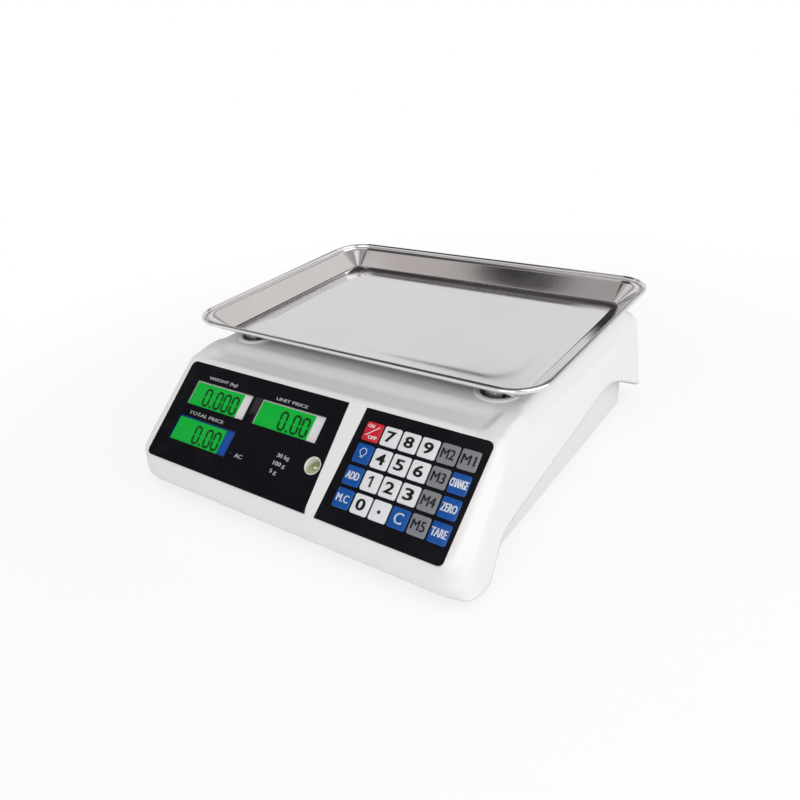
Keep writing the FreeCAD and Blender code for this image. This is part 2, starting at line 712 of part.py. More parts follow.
def panel_cuts(label, corners, outer_side):
    """A panel's recess and the opening through the console inside its ledge."""
    margin = size.panel_sunk
    recess = panel_block(label + "_recess", corners, outer_side, ZERO,
                         margin, margin + panel_back)
    opening = panel_block(label + "_opening", corners, outer_side, size.panel_ledge,
                          margin, size.console_wall * 3)
    return [recess, opening]


def cylinder(label, radius, height, place):
    """An upright round bar from a place upwards."""
    bar = doc.addObject("Part::Cylinder", label)
    bind(bar, "Radius", radius)
    bind(bar, "Height", height)
    for axis, along in zip("xyz", place):
        bind(bar, f"Placement.Base.{axis}", ZERO + along)
    return bar


def box(label, left, right, front, back, low, high):
    block = doc.addObject("Part::Box", label)
    bind(block, "Length", right - left)
    bind(block, "Width", back - front)
    bind(block, "Height", high - low)
    bind(block, "Placement.Base.x", ZERO + left)
    bind(block, "Placement.Base.y", ZERO + front)
    bind(block, "Placement.Base.z", ZERO + low)
    return block


def rear_slab(label, half, low, high, near, far):
    """A slab in the rear wall's frame, between two depths from the wall's face inwards."""
    slab = new_body(label)
    sketch = new_sketch(slab, label + "_outline", lift=near)
    draw_box(sketch, -half, half, low, high)
    add_pad(slab, sketch, far - near)
    place_on_rear(slab)
    return slab


def make_upper_housing():
    outer = fuse_all("housing_outer", [
        housing_block("housing_form", ZERO, size.skirt_lift),
        console_block("housing_console"),
        plateau_block("housing_plateau", ZERO),
        saddle_block("housing_saddle_left", -1, ZERO),
        saddle_block("housing_saddle_right", 1, ZERO),
    ])
    hollow_foot = size.skirt_lift - size.shell_wall
    console_room = panel_block(
        "console_room", (-size.console_wide / 2 + size.shell_wall,
                         size.console_wide / 2 - size.shell_wall,
                         size.console_wide / 2 - size.shell_wall,
                         -size.console_wide / 2 + size.shell_wall),
        1, size.panel_ledge, -size.console_wall, size.console_root)
    hollow = fuse_all("housing_hollow", [
        housing_block("hollow_form", size.shell_wall, hollow_foot),
        console_room,
        plateau_block("hollow_plateau", size.shell_wall),
        saddle_block("hollow_saddle_left", -1, size.shell_wall),
        saddle_block("hollow_saddle_right", 1, size.shell_wall),
    ])
    shell = boolean("Part::Cut", "housing_shell", Base=outer, Tool=hollow)
    open_shell = boolean("Part::Cut", "housing_arched", Base=shell, Tool=arch_cutter("side_arch"))
    bosses = fuse_all("upper_boss_bars", [
        cylinder(f"upper_boss_{index}", size.boss_wide / 2, plateau_top - size.boss_meet,
                 (across, along, size.boss_meet))
        for index, (across, along) in enumerate(screw_places)
    ])
    seated = boolean("Part::Common", "upper_bosses", Base=bosses, Tool=outer)
    collars = fuse_all("leg_collars", [
        cylinder(f"leg_collar_{index}", collar_radius, size.shell_wall + size.collar_rise,
                 (across, along, plateau_top - size.shell_wall))
        for index, (across, along) in enumerate(leg_places)
    ])
    solid = fuse_all("housing_solid", [open_shell, seated, collars])
    holes = [
        cylinder(f"leg_hole_{index}", leg_hole_radius, plateau_top,
                 (across, along, size.shoulder_level - size.shell_wall * 4))
        for index, (across, along) in enumerate(leg_places)
    ]
    pilots = [
        cylinder(f"screw_pilot_{index}", size.screw_wide / 2 + size.screw_gap,
                 size.screw_bite + size.screw_wide,
                 (across, along, size.boss_meet - size.screw_gap))
        for index, (across, along) in enumerate(screw_places)
    ]
    rear_half = size.rear_window_wide / 2
    rear_top = size.rear_window_up + size.rear_window_tall
    ledge = size.panel_ledge
    rear_cuts = [
        rear_slab("rear_recess", rear_half, size.rear_window_up, rear_top,
                  -size.panel_thick, panel_back),
        rear_slab("rear_opening", rear_half - ledge, size.rear_window_up + ledge,
                  rear_top - ledge, ZERO, size.shell_wall * 3),
    ]
    level_hole = panel_bar("level_hole", size.level_wide / 2 + size.panel_gap,
                           -size.level_long, ZERO - size.panel_sunk)
    cuts = (holes + pilots + rear_cuts + inlet_cutters() + [level_hole]
            + panel_cuts("window", WINDOW_CORNERS, -1) + panel_cuts("bezel", BEZEL_CORNERS, 1))
    tool = fuse_all("housing_cuts", cuts)
    keep("upper_housing", boolean("Part::Cut", "upper_housing", Base=solid, Tool=tool))


# ---------------------------------------------------------------- mains inlet

def inlet_core(label, margin, near, far):
    """The inlet's body in the rear wall's frame: a rounded bar between two depths."""
    core = new_body(label)
    sketch = new_sketch(core, label + "_outline", lift=near)
    half = size.inlet_wide / 2 + size.inlet_wall + margin
    tall = size.inlet_tall / 2 + size.inlet_wall + margin
    draw_round_box(sketch, -half, half, size.inlet_up - tall, size.inlet_up + tall,
                   size.inlet_wall + margin)
    add_pad(core, sketch, far - near)
    place_on_rear(core, across=size.inlet_place)
    return core


def inlet_seat_outline(sketch, margin):
    """The outline of the inlet's flange, grown by a margin."""
    rim = size.inlet_wall + size.inlet_flange + margin
    draw_round_box(sketch, -size.inlet_wide / 2 - rim, size.inlet_wide / 2 + rim,
                   size.inlet_up - size.inlet_tall / 2 - rim,
                   size.inlet_up + size.inlet_tall / 2 + rim, size.inlet_wall + margin)


def inlet_cutters():
    """The hole for the inlet's body and the shallow seat for its flange."""
    seat = new_body("inlet_seat")
    sketch = new_sketch(seat, "inlet_seat_outline", lift=-size.inlet_wall)
    inlet_seat_outline(sketch, size.door_gap)
    add_pad(seat, sketch, size.inlet_wall * 2)
    place_on_rear(seat, across=size.inlet_place)
    hole = inlet_core("inlet_hole", size.door_gap, ZERO, size.shell_wall * 3)
    return [seat, hole]


def make_power_inlet():
    """A two-pin socket with its flange flush in the rear wall; its mouth faces backwards."""
    inlet = new_body("power_inlet")
    flange = new_sketch(inlet, "inlet_flange_outline")
    inlet_seat_outline(flange, ZERO)
    add_pad(inlet, flange, size.inlet_wall)
    shank = new_sketch(inlet, "inlet_shank_outline", lift=size.inlet_wall)
    half = size.inlet_wide / 2 + size.inlet_wall
    tall = size.inlet_tall / 2 + size.inlet_wall
    draw_round_box(shank, -half, half, size.inlet_up - tall, size.inlet_up + tall, size.inlet_wall)
    add_pad(inlet, shank, size.inlet_deep)
    mouth = new_sketch(inlet, "inlet_mouth")
    draw_round_box(mouth, -size.inlet_wide / 2, size.inlet_wide / 2,
                   size.inlet_up - size.inlet_tall / 2, size.inlet_up + size.inlet_tall / 2,
                   size.inlet_tall / 2 - size.inlet_pin_wide / 4)
    add_pocket(inlet, mouth, size.inlet_deep, upward=True)
    pins = new_sketch(inlet, "inlet_pins", lift=size.inlet_deep)
    for side in (-1, 1):
        draw_circle(pins, size.inlet_pin_pitch / 2 * side, size.inlet_up, size.inlet_pin_wide / 2)
    add_pad(inlet, pins, size.inlet_pin_long, downward=True)
    place_on_rear(inlet, across=size.inlet_place)
    keep("power_inlet", inlet)


# ---------------------------------------------------------------- lower housing

def tray_outline(sketch, inset):
    draw_round_box(sketch, -size.tray_wide / 2 + inset, size.tray_wide / 2 - inset,
                   tray_front + inset, tray_rear - inset, size.tray_corner - inset)


def posts(body, name, places, radius, foot, height):
    """Round posts of one height, drawn in one sketch."""
    sketch = new_sketch(body, name, lift=foot)
    for across, along in places:
        draw_circle(sketch, across, along, radius)
    add_pad(body, sketch, height)


def bores(body, name, places, radius, foot, depth):
    """Round holes of one depth, cut upwards from a level."""
    sketch = new_sketch(body, name, lift=foot)
    for across, along in places:
        draw_circle(sketch, across, along, radius)
    add_pocket(body, sketch, depth, upward=True)


def board_posts():
    """The main board's four standoffs, one near each of its corners."""
    reach = size.standoff_wide
    left = -size.main_board_left + reach
    right = -size.main_board_left + size.main_board_wide - reach
    front = main_board_front + reach
    back = main_board_front + size.main_board_deep - reach
    return [(left, front), (right, front), (right, back), (left, back)]


def make_lower_housing():
    tray = new_body("lower_housing")
    block = new_sketch(tray, "tray_block", lift=size.tray_lift)
    tray_outline(block, ZERO)
    add_pad(tray, block, size.tray_top - size.tray_lift)
    room = new_sketch(tray, "tray_room", lift=size.tray_top)
    tray_outline(room, size.tray_wall)
    add_pocket(tray, room, size.tray_top - tray_inside)
    under = size.console_rise + size.shell_wall + size.tray_slope_gap
    nose = new_sketch(tray, "tray_nose", role="YZ_Plane")
    out = -half_deep
    draw_polygon(nose, [
        (slope_line(under, size.tray_top), size.tray_top),
        (slope_line(under, size.tray_top), size.tray_top + size.tray_floor),
        (out, size.tray_top + size.tray_floor),
        (out, slope_height(under, out)),
    ])
    add_pocket(tray, nose, both_ways=True)
    ring = new_sketch(tray, "battery_crib", lift=tray_inside)
    half = size.battery_wide / 2 + size.door_gap
    deep = size.battery_deep / 2 + size.door_gap
    middle = -size.battery_place
    draw_box(ring, -half - size.tray_wall, half + size.tray_wall,
             middle - deep - size.tray_wall, middle + deep + size.tray_wall)
    draw_box(ring, -half, half, middle - deep, middle + deep)
    add_pad(tray, ring, size.battery_tall / 3)
    seat = new_sketch(tray, "cell_seat", lift=tray_inside)
    draw_box(seat, -size.cell_long / 2, -size.cell_long / 2 + size.cell_seat,
             pan_middle - size.cell_wide / 2, pan_middle + size.cell_wide / 2)
    add_pad(tray, seat, cell_foot - tray_inside)
    posts(tray, "overload_stop", [(size.cell_long / 2 - size.cell_bolt_first, pan_middle)],
          size.bolt_head_wide / 2, tray_inside,
          cell_foot - tray_inside - size.platform_travel - size.bolt_gap)
    posts(tray, "board_standoffs", board_posts(), size.standoff_wide / 2, tray_inside,
          size.standoff_tall)
    posts(tray, "lower_bosses", screw_places, size.boss_wide / 2, tray_inside,
          size.boss_meet - tray_inside)
    posts(tray, "insert_sleeves", list(foot_places.values()),
          size.insert_wide / 2 + size.tray_wall, tray_inside, size.insert_tall - size.tray_wall)
    screw_seat = size.boss_meet - size.boss_wide - size.tray_lift
    bores(tray, "screw_wells", screw_places, size.screw_head_wide / 2 + size.screw_gap,
          size.tray_lift, screw_seat)
    bores(tray, "screw_holes", screw_places, size.screw_wide / 2 + size.screw_gap,
          size.tray_lift, size.boss_meet - size.tray_lift)
    bores(tray, "insert_flange_seats", list(foot_places.values()),
          size.insert_wide / 2 + size.insert_flange, size.tray_lift, size.insert_flange)
    bores(tray, "insert_holes", list(foot_places.values()), size.insert_wide / 2,
          size.tray_lift, size.tray_floor + size.insert_tall)
    seats = [(place, pan_middle) for place in fixed_bolts]
    bores(tray, "bolt_wells", seats, size.bolt_head_wide / 2 + size.bolt_gap, size.tray_lift,
          size.bolt_head_tall)
    bores(tray, "bolt_holes", seats, size.bolt_wide / 2 + size.bolt_gap, size.tray_lift,
          size.cell_lift)
    recess = new_sketch(tray, "door_recess", lift=size.tray_lift)
    lap = size.door_lap + size.door_gap
    draw_box(recess, -half - lap, half + lap, middle - deep - lap, middle + deep + lap)
    add_pocket(tray, recess, size.door_thick, upward=True)
    opening = new_sketch(tray, "battery_opening", lift=size.tray_lift)
    draw_box(opening, -half, half, middle - deep, middle + deep)
    add_pocket(tray, opening, size.tray_floor, upward=True)
    keep("lower_housing", tray)


# ---------------------------------------------------------------- battery, boards, transformer

def make_battery():
    """A sealed lead-acid block on its side, standing on the battery door."""
    battery = new_body("battery")
    low = size.tray_lift + size.door_thick
    plan = new_sketch(battery, "battery_plan", lift=low)
    middle = -size.battery_place
    draw_round_box(plan, -size.battery_wide / 2, size.battery_wide / 2,
                   middle - size.battery_deep / 2, middle + size.battery_deep / 2, size.tray_wall)
    add_pad(battery, plan, size.battery_tall)
    keep("battery", battery)


def make_battery_door():
    door = new_body("battery_door")
    plan = new_sketch(door, "door_plan", lift=size.tray_lift)
    half = size.battery_wide / 2 + size.door_lap
    deep = size.battery_deep / 2 + size.door_lap
    middle = -size.battery_place
    draw_box(plan, -half, half, middle - deep, middle + deep)
    add_pad(door, plan, size.door_thick)
    keep("battery_door", door)


def make_main_board():
    board = new_body("main_board")
    left = -size.main_board_left
    right = left + size.main_board_wide
    front = main_board_front
    back = front + size.main_board_deep
    foot = tray_inside + size.standoff_tall
    plan = new_sketch(board, "board_plan", lift=foot)
    draw_box(plan, left, right, front, back)
    add_pad(board, plan, size.board_thick)
    chips = new_sketch(board, "board_chips", lift=foot + size.board_thick)
    inner = size.standoff_wide * 2
    draw_box(chips, left + inner, left + inner * 2.5, front + inner, back - inner)
    draw_box(chips, left + inner * 3, right - inner, back - inner * 1.5, back - inner)
    add_pad(board, chips, size.board_thick * 2)
    keep("main_board", board)


def make_transformer():
    """A laminated core with its winding standing proud front and back."""
    core = new_body("mains_transformer")
    across = size.core_place
    along = pan_middle + size.core_back
    block = new_sketch(core, "core_plan", lift=tray_inside)
    draw_box(block, across - size.core_wide / 2, across + size.core_wide / 2,
             along - size.core_deep / 2, along + size.core_deep / 2)
    add_pad(core, block, size.core_tall)
    coil = new_sketch(core, "coil_plan", lift=tray_inside + size.tray_floor)
    draw_round_box(coil, across - size.coil_wide / 2, across + size.coil_wide / 2,
                   along - size.coil_deep / 2, along + size.coil_deep / 2, size.tray_wall)
    add_pad(core, coil, size.core_tall - size.tray_floor * 2)
    keep("mains_transformer", core)


# ---------------------------------------------------------------- load cell and platform

def make_load_cell():
    """A bending beam: fixed at its left end, free at its right, thinned by a double bore."""
    cell = new_body("load_cell")
    bar = new_sketch(cell, "cell_bar", lift=cell_foot)
    draw_box(bar, -size.cell_long / 2, size.cell_long / 2,
             pan_middle - size.cell_wide / 2, pan_middle + size.cell_wide / 2)
    add_pad(cell, bar, size.cell_tall)
    level = cell_foot + size.cell_tall / 2
    radius = size.cell_tall / 2 - size.cell_air / 2
    window = new_sketch(cell, "cell_window", role="XZ_Plane")
    draw_box(window, -radius, radius, level - radius / 2, level + radius / 2)
    add_pocket(cell, window, both_ways=True)
    for side, name in ((-1, "left"), (1, "right")):
        eye = new_sketch(cell, f"cell_eye_{name}", role="XZ_Plane")
        draw_circle(eye, radius * side, level, radius)
        add_pocket(cell, eye, both_ways=True)
    deep = size.bolt_reach + size.bolt_gap + size.platform_travel
    bores(cell, "fixed_bolt_holes", [(place, pan_middle) for place in fixed_bolts],
          size.bolt_wide / 2 + size.bolt_gap, cell_foot, deep)
    bores(cell, "free_bolt_holes", [(place, pan_middle) for place in free_bolts],
          size.bolt_wide / 2 + size.bolt_gap, cell_top - deep, deep)
    keep("load_cell", cell)


def fasteners(node, places, head_foot, head_radius, head_tall, shank_radius, shank_foot, shank_long):
    """A group of like screws: each a round head on a round shank, all upright."""
    screws = []
    for index, (across, along) in enumerate(places):
        head = cylinder(f"{node}_head_{index}", head_radius, head_tall, (across, along, head_foot))
        shank = cylinder(f"{node}_shank_{index}", shank_radius, shank_long,
                         (across, along, shank_foot))
        screws.append(fuse_all(f"{node}_{index}", [head, shank]))
    group = doc.addObject("Part::Compound", node)
    group.Links = screws
    keep(node, group)


def make_load_cell_bolts():
    fasteners("load_cell_bolts", [(place, pan_middle) for place in fixed_bolts],
              size.tray_lift, size.bolt_head_wide / 2, size.bolt_head_tall,
              size.bolt_wide / 2, size.tray_lift, size.cell_lift + size.bolt_reach)


def make_platform_bolts():
    fasteners("platform_bolts", [(place, pan_middle) for place in free_bolts],
              beam_top, size.bolt_head_wide / 2, size.bolt_head_tall, size.bolt_wide / 2,
              cell_top - size.bolt_reach,
              size.bolt_reach + size.cell_air + size.beam_thick + size.bolt_head_tall)


def make_housing_screws():
    seat = size.boss_meet - size.boss_wide
    fasteners("housing_screws", screw_places, seat - size.screw_head_tall,
              size.screw_head_wide / 2, size.screw_head_tall, size.screw_wide / 2,
              seat - size.screw_head_tall,
              size.screw_head_tall + size.boss_wide + size.screw_bite)


def make_spider():
    """The platform on the load cell: a bridge and two side beams that carry the pan's legs."""
    spider = new_body("platform_spider")
    plan = new_sketch(spider, "beams_plan", lift=beam_foot)
    inner = size.leg_across / 2 - size.beam_wide / 2
    outer = size.leg_across / 2 + size.beam_wide / 2
    front = front_legs - size.beam_over
    back = rear_legs + size.beam_over
    low = pan_middle - size.bridge_wide / 2
    high = pan_middle + size.bridge_wide / 2
    draw_polygon(plan, [
        (-outer, front), (-inner, front), (-inner, low), (inner, low), (inner, front),
        (outer, front), (outer, back), (inner, back), (inner, high), (-inner, high),
        (-inner, back), (-outer, back),
    ])
    add_pad(spider, plan, size.beam_thick)
    foot = new_sketch(spider, "bridge_foot", lift=cell_top)
    draw_box(foot, size.cell_long / 2 - size.cell_seat, size.cell_long / 2,
             pan_middle - size.cell_wide / 2, pan_middle + size.cell_wide / 2)
    add_pad(spider, foot, size.cell_air)
    bores(spider, "bridge_bolt_holes", [(place, pan_middle) for place in free_bolts],
          size.bolt_wide / 2 + size.bolt_gap, cell_top, size.cell_air + size.beam_thick)
    keep("platform_spider", spider)


def make_cups():
    """Four rubber cups on the side beams; each holds a pan leg's foot."""
    cups = []
    for index, (across, along) in enumerate(leg_places):
        cup = new_body(f"platform_cup_{index}")
        ring = new_sketch(cup, f"cup_plan_{index}")
        draw_circle(ring, ZERO, ZERO, cup_radius)
        add_pad(cup, ring, size.cup_floor + size.cup_deep)
        well = new_sketch(cup, f"cup_well_{index}", lift=size.cup_floor + size.cup_deep)
        draw_circle(well, ZERO, ZERO, leg_radius + size.cup_gap)
        add_pocket(cup, well, size.cup_deep)
        bind(cup, "Placement.Base.x", across)
        bind(cup, "Placement.Base.y", along)
        bind(cup, "Placement.Base.z", beam_top)
        cups.append(cup)
    group = doc.addObject("Part::Compound", "platform_pads")
    group.Links = cups
    keep("platform_pads", group)


# ---------------------------------------------------------------- pan

pan_wall_tall = size.pan_tall - size.rim_bead / 2
pan_wall_run = pan_wall_tall * tangent(size.pan_wall_lean)
rim_half_wide = size.pan_wide / 2 - size.rim_bead / 2
rim_half_deep = size.pan_deep / 2 - size.rim_bead / 2


def pan_form(label, lift):
    """The pan's tray form: a round-cornered floor with walls that lean out to the rim's middle."""
    form = new_body(label)
    across = rim_half_wide - pan_wall_run
    along = rim_half_deep - pan_wall_run
    plan = new_sketch(form, label + "_plan", lift=lift)
    draw_round_box(plan, -across, across, pan_middle - along, pan_middle + along,
                   size.pan_floor_corner)
    add_pad(form, plan, pan_wall_tall, lean=size.pan_wall_lean)
    return form


def make_pan():
    """A pressed sheet pan: flat floor, leaning walls and a rolled rim, a round bead all along."""
    outer = pan_form("pan_outer", pan_underside)
    inner = pan_form("pan_inner", pan_underside + size.pan_sheet)
    sheet_form = boolean("Part::Cut", "pan_sheet_form", Base=outer, Tool=inner)
    bead = new_body("pan_bead")
    level = pan_underside + pan_wall_tall
    path = new_sketch(bead, "bead_path", lift=level)
    draw_round_box(path, -rim_half_wide, rim_half_wide, pan_middle - rim_half_deep,
                   pan_middle + rim_half_deep, size.pan_floor_corner + pan_wall_run)
    section = new_sketch(bead, "bead_section", role="YZ_Plane")
    draw_circle(section, pan_middle - rim_half_deep, level, size.rim_bead / 2)
    pipe = bead.newObject("PartDesign::AdditivePipe", "bead_pipe")
    pipe.Profile = section
    pipe.Spine = (path, [f"Edge{number}" for number in range(1, 9)])
    keep("weighing_pan", fuse_all("weighing_pan", [sheet_form, bead]))


def make_legs():
    legs = [
        cylinder(f"pan_leg_{index}", leg_radius, pan_underside - leg_foot, (across, along, leg_foot))
        for index, (across, along) in enumerate(leg_places)
    ]
    group = doc.addObject("Part::Compound", "pan_legs")
    group.Links = legs
    keep("pan_legs", group)


# ---------------------------------------------------------------- operator's panel

def make_display_window():
    window = panel_block("display_window", WINDOW_CORNERS, -1, size.panel_gap,
                         -size.panel_sunk, size.panel_thick)
    hole = new_sketch(window, "window_level_hole", lift=-size.panel_sunk)
    draw_circle(hole, size.level_place, size.level_up, size.level_wide / 2)
    add_pocket(window, hole)
    keep("display_window", window)


def make_front_display_board():
    board = panel_block("front_display_board", WINDOW_CORNERS, -1,
                        size.panel_ledge + size.panel_gap, -lcd_back, size.board_thick)
    hole = new_sketch(board, "board_level_hole", lift=-lcd_back)
    draw_circle(hole, size.level_place, size.level_up, size.level_wide / 2 + size.panel_gap)
    add_pocket(board, hole)
    keep("front_display_board", board)


def make_lcd(node, left, foot):
    lcd = new_body(node)
    face = new_sketch(lcd, node + "_face", lift=-panel_back)
    draw_box(face, left, left + size.lcd_wide, ZERO + foot, foot + size.lcd_tall)
    add_pad(lcd, face, size.lcd_glass, downward=True)
    place_on_panel(lcd)
    keep(node, lcd)


def make_bubble_level():
    """A tube through the window, square to it, filled up to a floor that is truly level."""
    tube = panel_bar("level_tube", size.level_wide / 2, -size.level_long, -size.panel_sunk)
    bore = panel_bar("level_bore", size.level_wide / 2 - size.level_tube_wall,
                     -size.level_long + size.level_tube_wall, size.panel_sunk)
    along = (-panel_front + cosine(size.slope) * size.level_up
             + sine(size.slope) * size.level_depth)
    level = (size.panel_level + sine(size.slope) * size.level_up
             - cosine(size.slope) * size.level_depth)
    reach = size.level_long * 2
    above = box("level_air", size.level_place - reach, size.level_place + reach,
                along - reach, along + reach, level, level + reach)
    air = boolean("Part::Common", "level_room", Base=bore, Tool=above)
    keep("bubble_level", boolean("Part::Cut", "bubble_level", Base=tube, Tool=air))


KEY_COLUMNS = 6
KEY_ROWS = 4
# From the lowest row up, each from left to right.
KEY_NAMES = [
    ["mc", "0", "point", "c", "m5", "tare"],
    ["add", "1", "2", "3", "m4", "zero"],
    ["lamp", "4", "5", "6", "m3", "change"],
    ["on_off", "7", "8", "9", "m2", "m1"],
]


def key_box(sketch, margin, across=ZERO, up_slope=ZERO):
    """A key's rounded outline about a place, grown by a margin."""
    wide = size.key_wide / 2 + margin
    tall = size.key_tall / 2 + margin
    draw_round_box(sketch, across - wide, across + wide, up_slope - tall, up_slope + tall,
                   size.key_corner + margin)


def make_keypad_bezel():
    bezel = panel_block("keypad_bezel", BEZEL_CORNERS, 1, size.panel_gap,
                        -size.panel_sunk, size.panel_thick)
    hole = new_sketch(bezel, "key_hole", lift=-size.panel_sunk)
    key_box(hole, size.key_gap, size.key_first, size.key_lowest)
    pocket = add_pocket(bezel, hole)
    grid = bezel.newObject("PartDesign::LinearPattern", "key_holes")
    grid.Originals = [pocket]
    grid.Direction = (hole, ["H_Axis"])
    grid.Direction2 = (hole, ["V_Axis"])
    grid.Occurrences = KEY_COLUMNS
    grid.Occurrences2 = KEY_ROWS
    bind(grid, "Length", size.key_pitch * (KEY_COLUMNS - 1))
    bind(grid, "Length2", size.key_row_pitch * (KEY_ROWS - 1))
    bezel.Tip = grid
    keep("keypad_bezel", bezel)


def make_keypad_mat():
    """A rubber sheet whose raised border meets the bezel and leaves the keys room to travel."""
    mat = panel_block("keypad_rubber_mat", BEZEL_CORNERS, 1, size.panel_ledge + size.panel_gap,
                      -panel_back, mat_back - panel_back)
    room = new_sketch(mat, "key_room", lift=-panel_back)
    margin = size.key_flange + size.key_gap
    half = size.key_wide / 2 + margin
    tall = size.key_tall / 2 + margin
    draw_box(room, size.key_first - half, size.key_first + size.console_wide,
             size.key_lowest - tall,
             size.key_lowest + size.key_row_pitch * (KEY_ROWS - 1) + tall)
    add_pocket(mat, room, mat_face - panel_back)
    keep("keypad_rubber_mat", mat)


def make_keypad_board():
    board = panel_block("keypad_circuit_board", BEZEL_CORNERS, 1,
                        size.panel_ledge + size.panel_gap, -mat_back, size.board_thick)
    keep("keypad_circuit_board", board)


def make_key(name, column, row):
    """One key: a cap through the bezel with a flange behind it."""
    key = new_body(f"key_{name}")
    flange = new_sketch(key, f"flange_{name}", lift=-flange_back)
    key_box(flange, size.key_flange)
    add_pad(key, flange, size.key_flange_thick)
    cap = new_sketch(key, f"cap_{name}", lift=-flange_face)
    key_box(cap, ZERO)
    add_pad(key, cap, flange_face - size.panel_sunk + size.key_proud)
    top = (size.key_proud - size.panel_sunk).number
    round_edges(key, size.key_proud / 2, lambda edge: lies_at(edge, "z", top))
    place_on_panel(key, size.key_first + size.key_pitch * column,
                   size.key_lowest + size.key_row_pitch * row)
    keep(f"key_{name}", key)


def make_keys():
    for row, names in enumerate(KEY_NAMES):
        for column, name in enumerate(names):
            make_key(name, column, row)


# ---------------------------------------------------------------- customer's window

def make_rear_display():
    low = size.rear_window_up
    high = low + size.rear_window_tall
    half = size.rear_window_wide / 2
    gap = size.panel_gap
    keep("rear_window", rear_slab("rear_window", half - gap, low + gap, high - gap,
                                  size.panel_sunk, panel_back))
    foot = low + (size.rear_window_tall - size.rear_lcd_tall) / 2
    displays = []
    for index in (-1, 0, 1):
        lcd = new_body(f"rear_lcd_{index + 1}")
        face = new_sketch(lcd, f"rear_lcd_face_{index + 1}", lift=panel_back)
        middle = size.rear_lcd_pitch * index
        draw_box(face, middle - size.rear_lcd_wide / 2, middle + size.rear_lcd_wide / 2,
                 foot, foot + size.rear_lcd_tall)
        add_pad(lcd, face, size.lcd_glass)
        place_on_rear(lcd)
        displays.append(lcd)
    group = doc.addObject("Part::Compound", "rear_lcds")
    group.Links = displays
    keep("rear_lcds", group)
    edge = size.panel_ledge + gap
    keep("rear_display_board", rear_slab("rear_display_board", half - edge, low + edge,
                                         high - edge, lcd_back, lcd_back + size.board_thick))


# ---------------------------------------------------------------- feet

def foot_body(node, across, along):
    foot = new_body(node)
    bind(foot, "Placement.Base.x", across)
    bind(foot, "Placement.Base.y", along)
    return foot


def disc(body, name, radius, foot, top):
    """A round step of a foot between two heights."""
    sketch = new_sketch(body, name, lift=foot)
    draw_circle(sketch, ZERO, ZERO, radius)
    add_pad(body, sketch, top - foot)


def make_foot(corner, across, along):
    """A levelling foot: a rubber pad that swivels on its pin, and a thumb wheel with a stud."""
    pad = foot_body(f"foot_pad_{corner}", across, along)
    pad_top = size.foot_pad_tall
    pin_top = pad_top + size.foot_pin_tall
    disc(pad, f"pad_disc_{corner}", size.foot_wide / 2, ZERO, pad_top)
    disc(pad, f"pad_pin_{corner}", size.foot_pin_wide / 2, pad_top, pin_top)
    keep(f"foot_pad_{corner}", pad)
    wheel = foot_body(f"foot_knob_{corner}", across, along)
    wheel_foot = pad_top + size.wheel_gap
    wheel_top = size.tray_lift - size.wheel_gap
    disc(wheel, f"wheel_disc_{corner}", size.wheel_wide / 2, wheel_foot, wheel_top)
    disc(wheel, f"wheel_stud_{corner}", size.stud_wide / 2, wheel_top,
         wheel_top + size.foot_travel + size.stud_bite)
    bores(wheel, f"wheel_pin_hole_{corner}", [(ZERO, ZERO)],
          size.foot_pin_wide / 2 + size.foot_gap, wheel_foot, pin_top)
    keep(f"foot_knob_{corner}", wheel)


def make_foot_insert(corner, across, along):
    insert = foot_body(f"foot_insert_{corner}", across, along)
    disc(insert, f"insert_flange_{corner}", size.insert_wide / 2 + size.insert_flange,
         size.tray_lift, size.tray_lift + size.insert_flange)
    disc(insert, f"insert_barrel_{corner}", size.insert_wide / 2,
         size.tray_lift + size.insert_flange, tray_inside + size.insert_tall)
    bores(insert, f"insert_bore_{corner}", [(ZERO, ZERO)], size.stud_wide / 2 + size.foot_gap,
          size.tray_lift, size.insert_tall + size.tray_floor)
    return insert


def make_feet():
    for corner, (across, along) in foot_places.items():
        make_foot(corner, across, along)
    group = doc.addObject("Part::Compound", "foot_inserts")
    group.Links = [make_foot_insert(corner, *place) for corner, place in foot_places.items()]
    keep("foot_inserts", group)


# ---------------------------------------------------------------- the whole scale

# Depths of the keypad's and the displays' layers under the panel's face.
lcd_back = panel_back + size.lcd_glass
flange_face = panel_back + size.key_float
flange_back = flange_face + size.key_flange_thick
mat_face = flange_back + size.key_travel + size.key_float
mat_back = mat_face + size.mat_thick

make_upper_housing()
make_lower_housing()
make_display_window()
make_keypad_bezel()
make_keypad_mat()
make_keypad_board()
make_front_display_board()
make_lcd("weight_lcd", -size.lcd_left, size.lcd_upper_foot)
make_lcd("unit_price_lcd", -size.lcd_unit_left, size.lcd_upper_foot)
make_lcd("total_price_lcd", -size.lcd_left, size.lcd_lower_foot)
make_bubble_level()
make_rear_display()
make_main_board()
make_battery()
make_battery_door()
make_transformer()
make_power_inlet()
make_load_cell()
make_load_cell_bolts()
make_housing_screws()
make_spider()
make_platform_bolts()
make_cups()
make_pan()
make_legs()
make_feet()
make_keys()
doc.recompute()

for thing in doc.Objects:
    if "Invalid" in thing.State or "Error" in thing.State:
        raise RuntimeError(f"{thing.Label} did not build: {thing.State}")
for node, thing in nodes.items():
    if thing.Shape.isNull() or not thing.Shape.isValid() or not thing.Shape.Solids:
        raise RuntimeError(f"{node} has no valid solid")

os.makedirs("parts", exist_ok=True)
for node, thing in nodes.items():
    thing.Shape.exportStep(os.path.join("parts", node + ".step"))
print(len(nodes), "nodes,", sum(len(thing.Shape.Solids) for thing in nodes.values()), "solids")
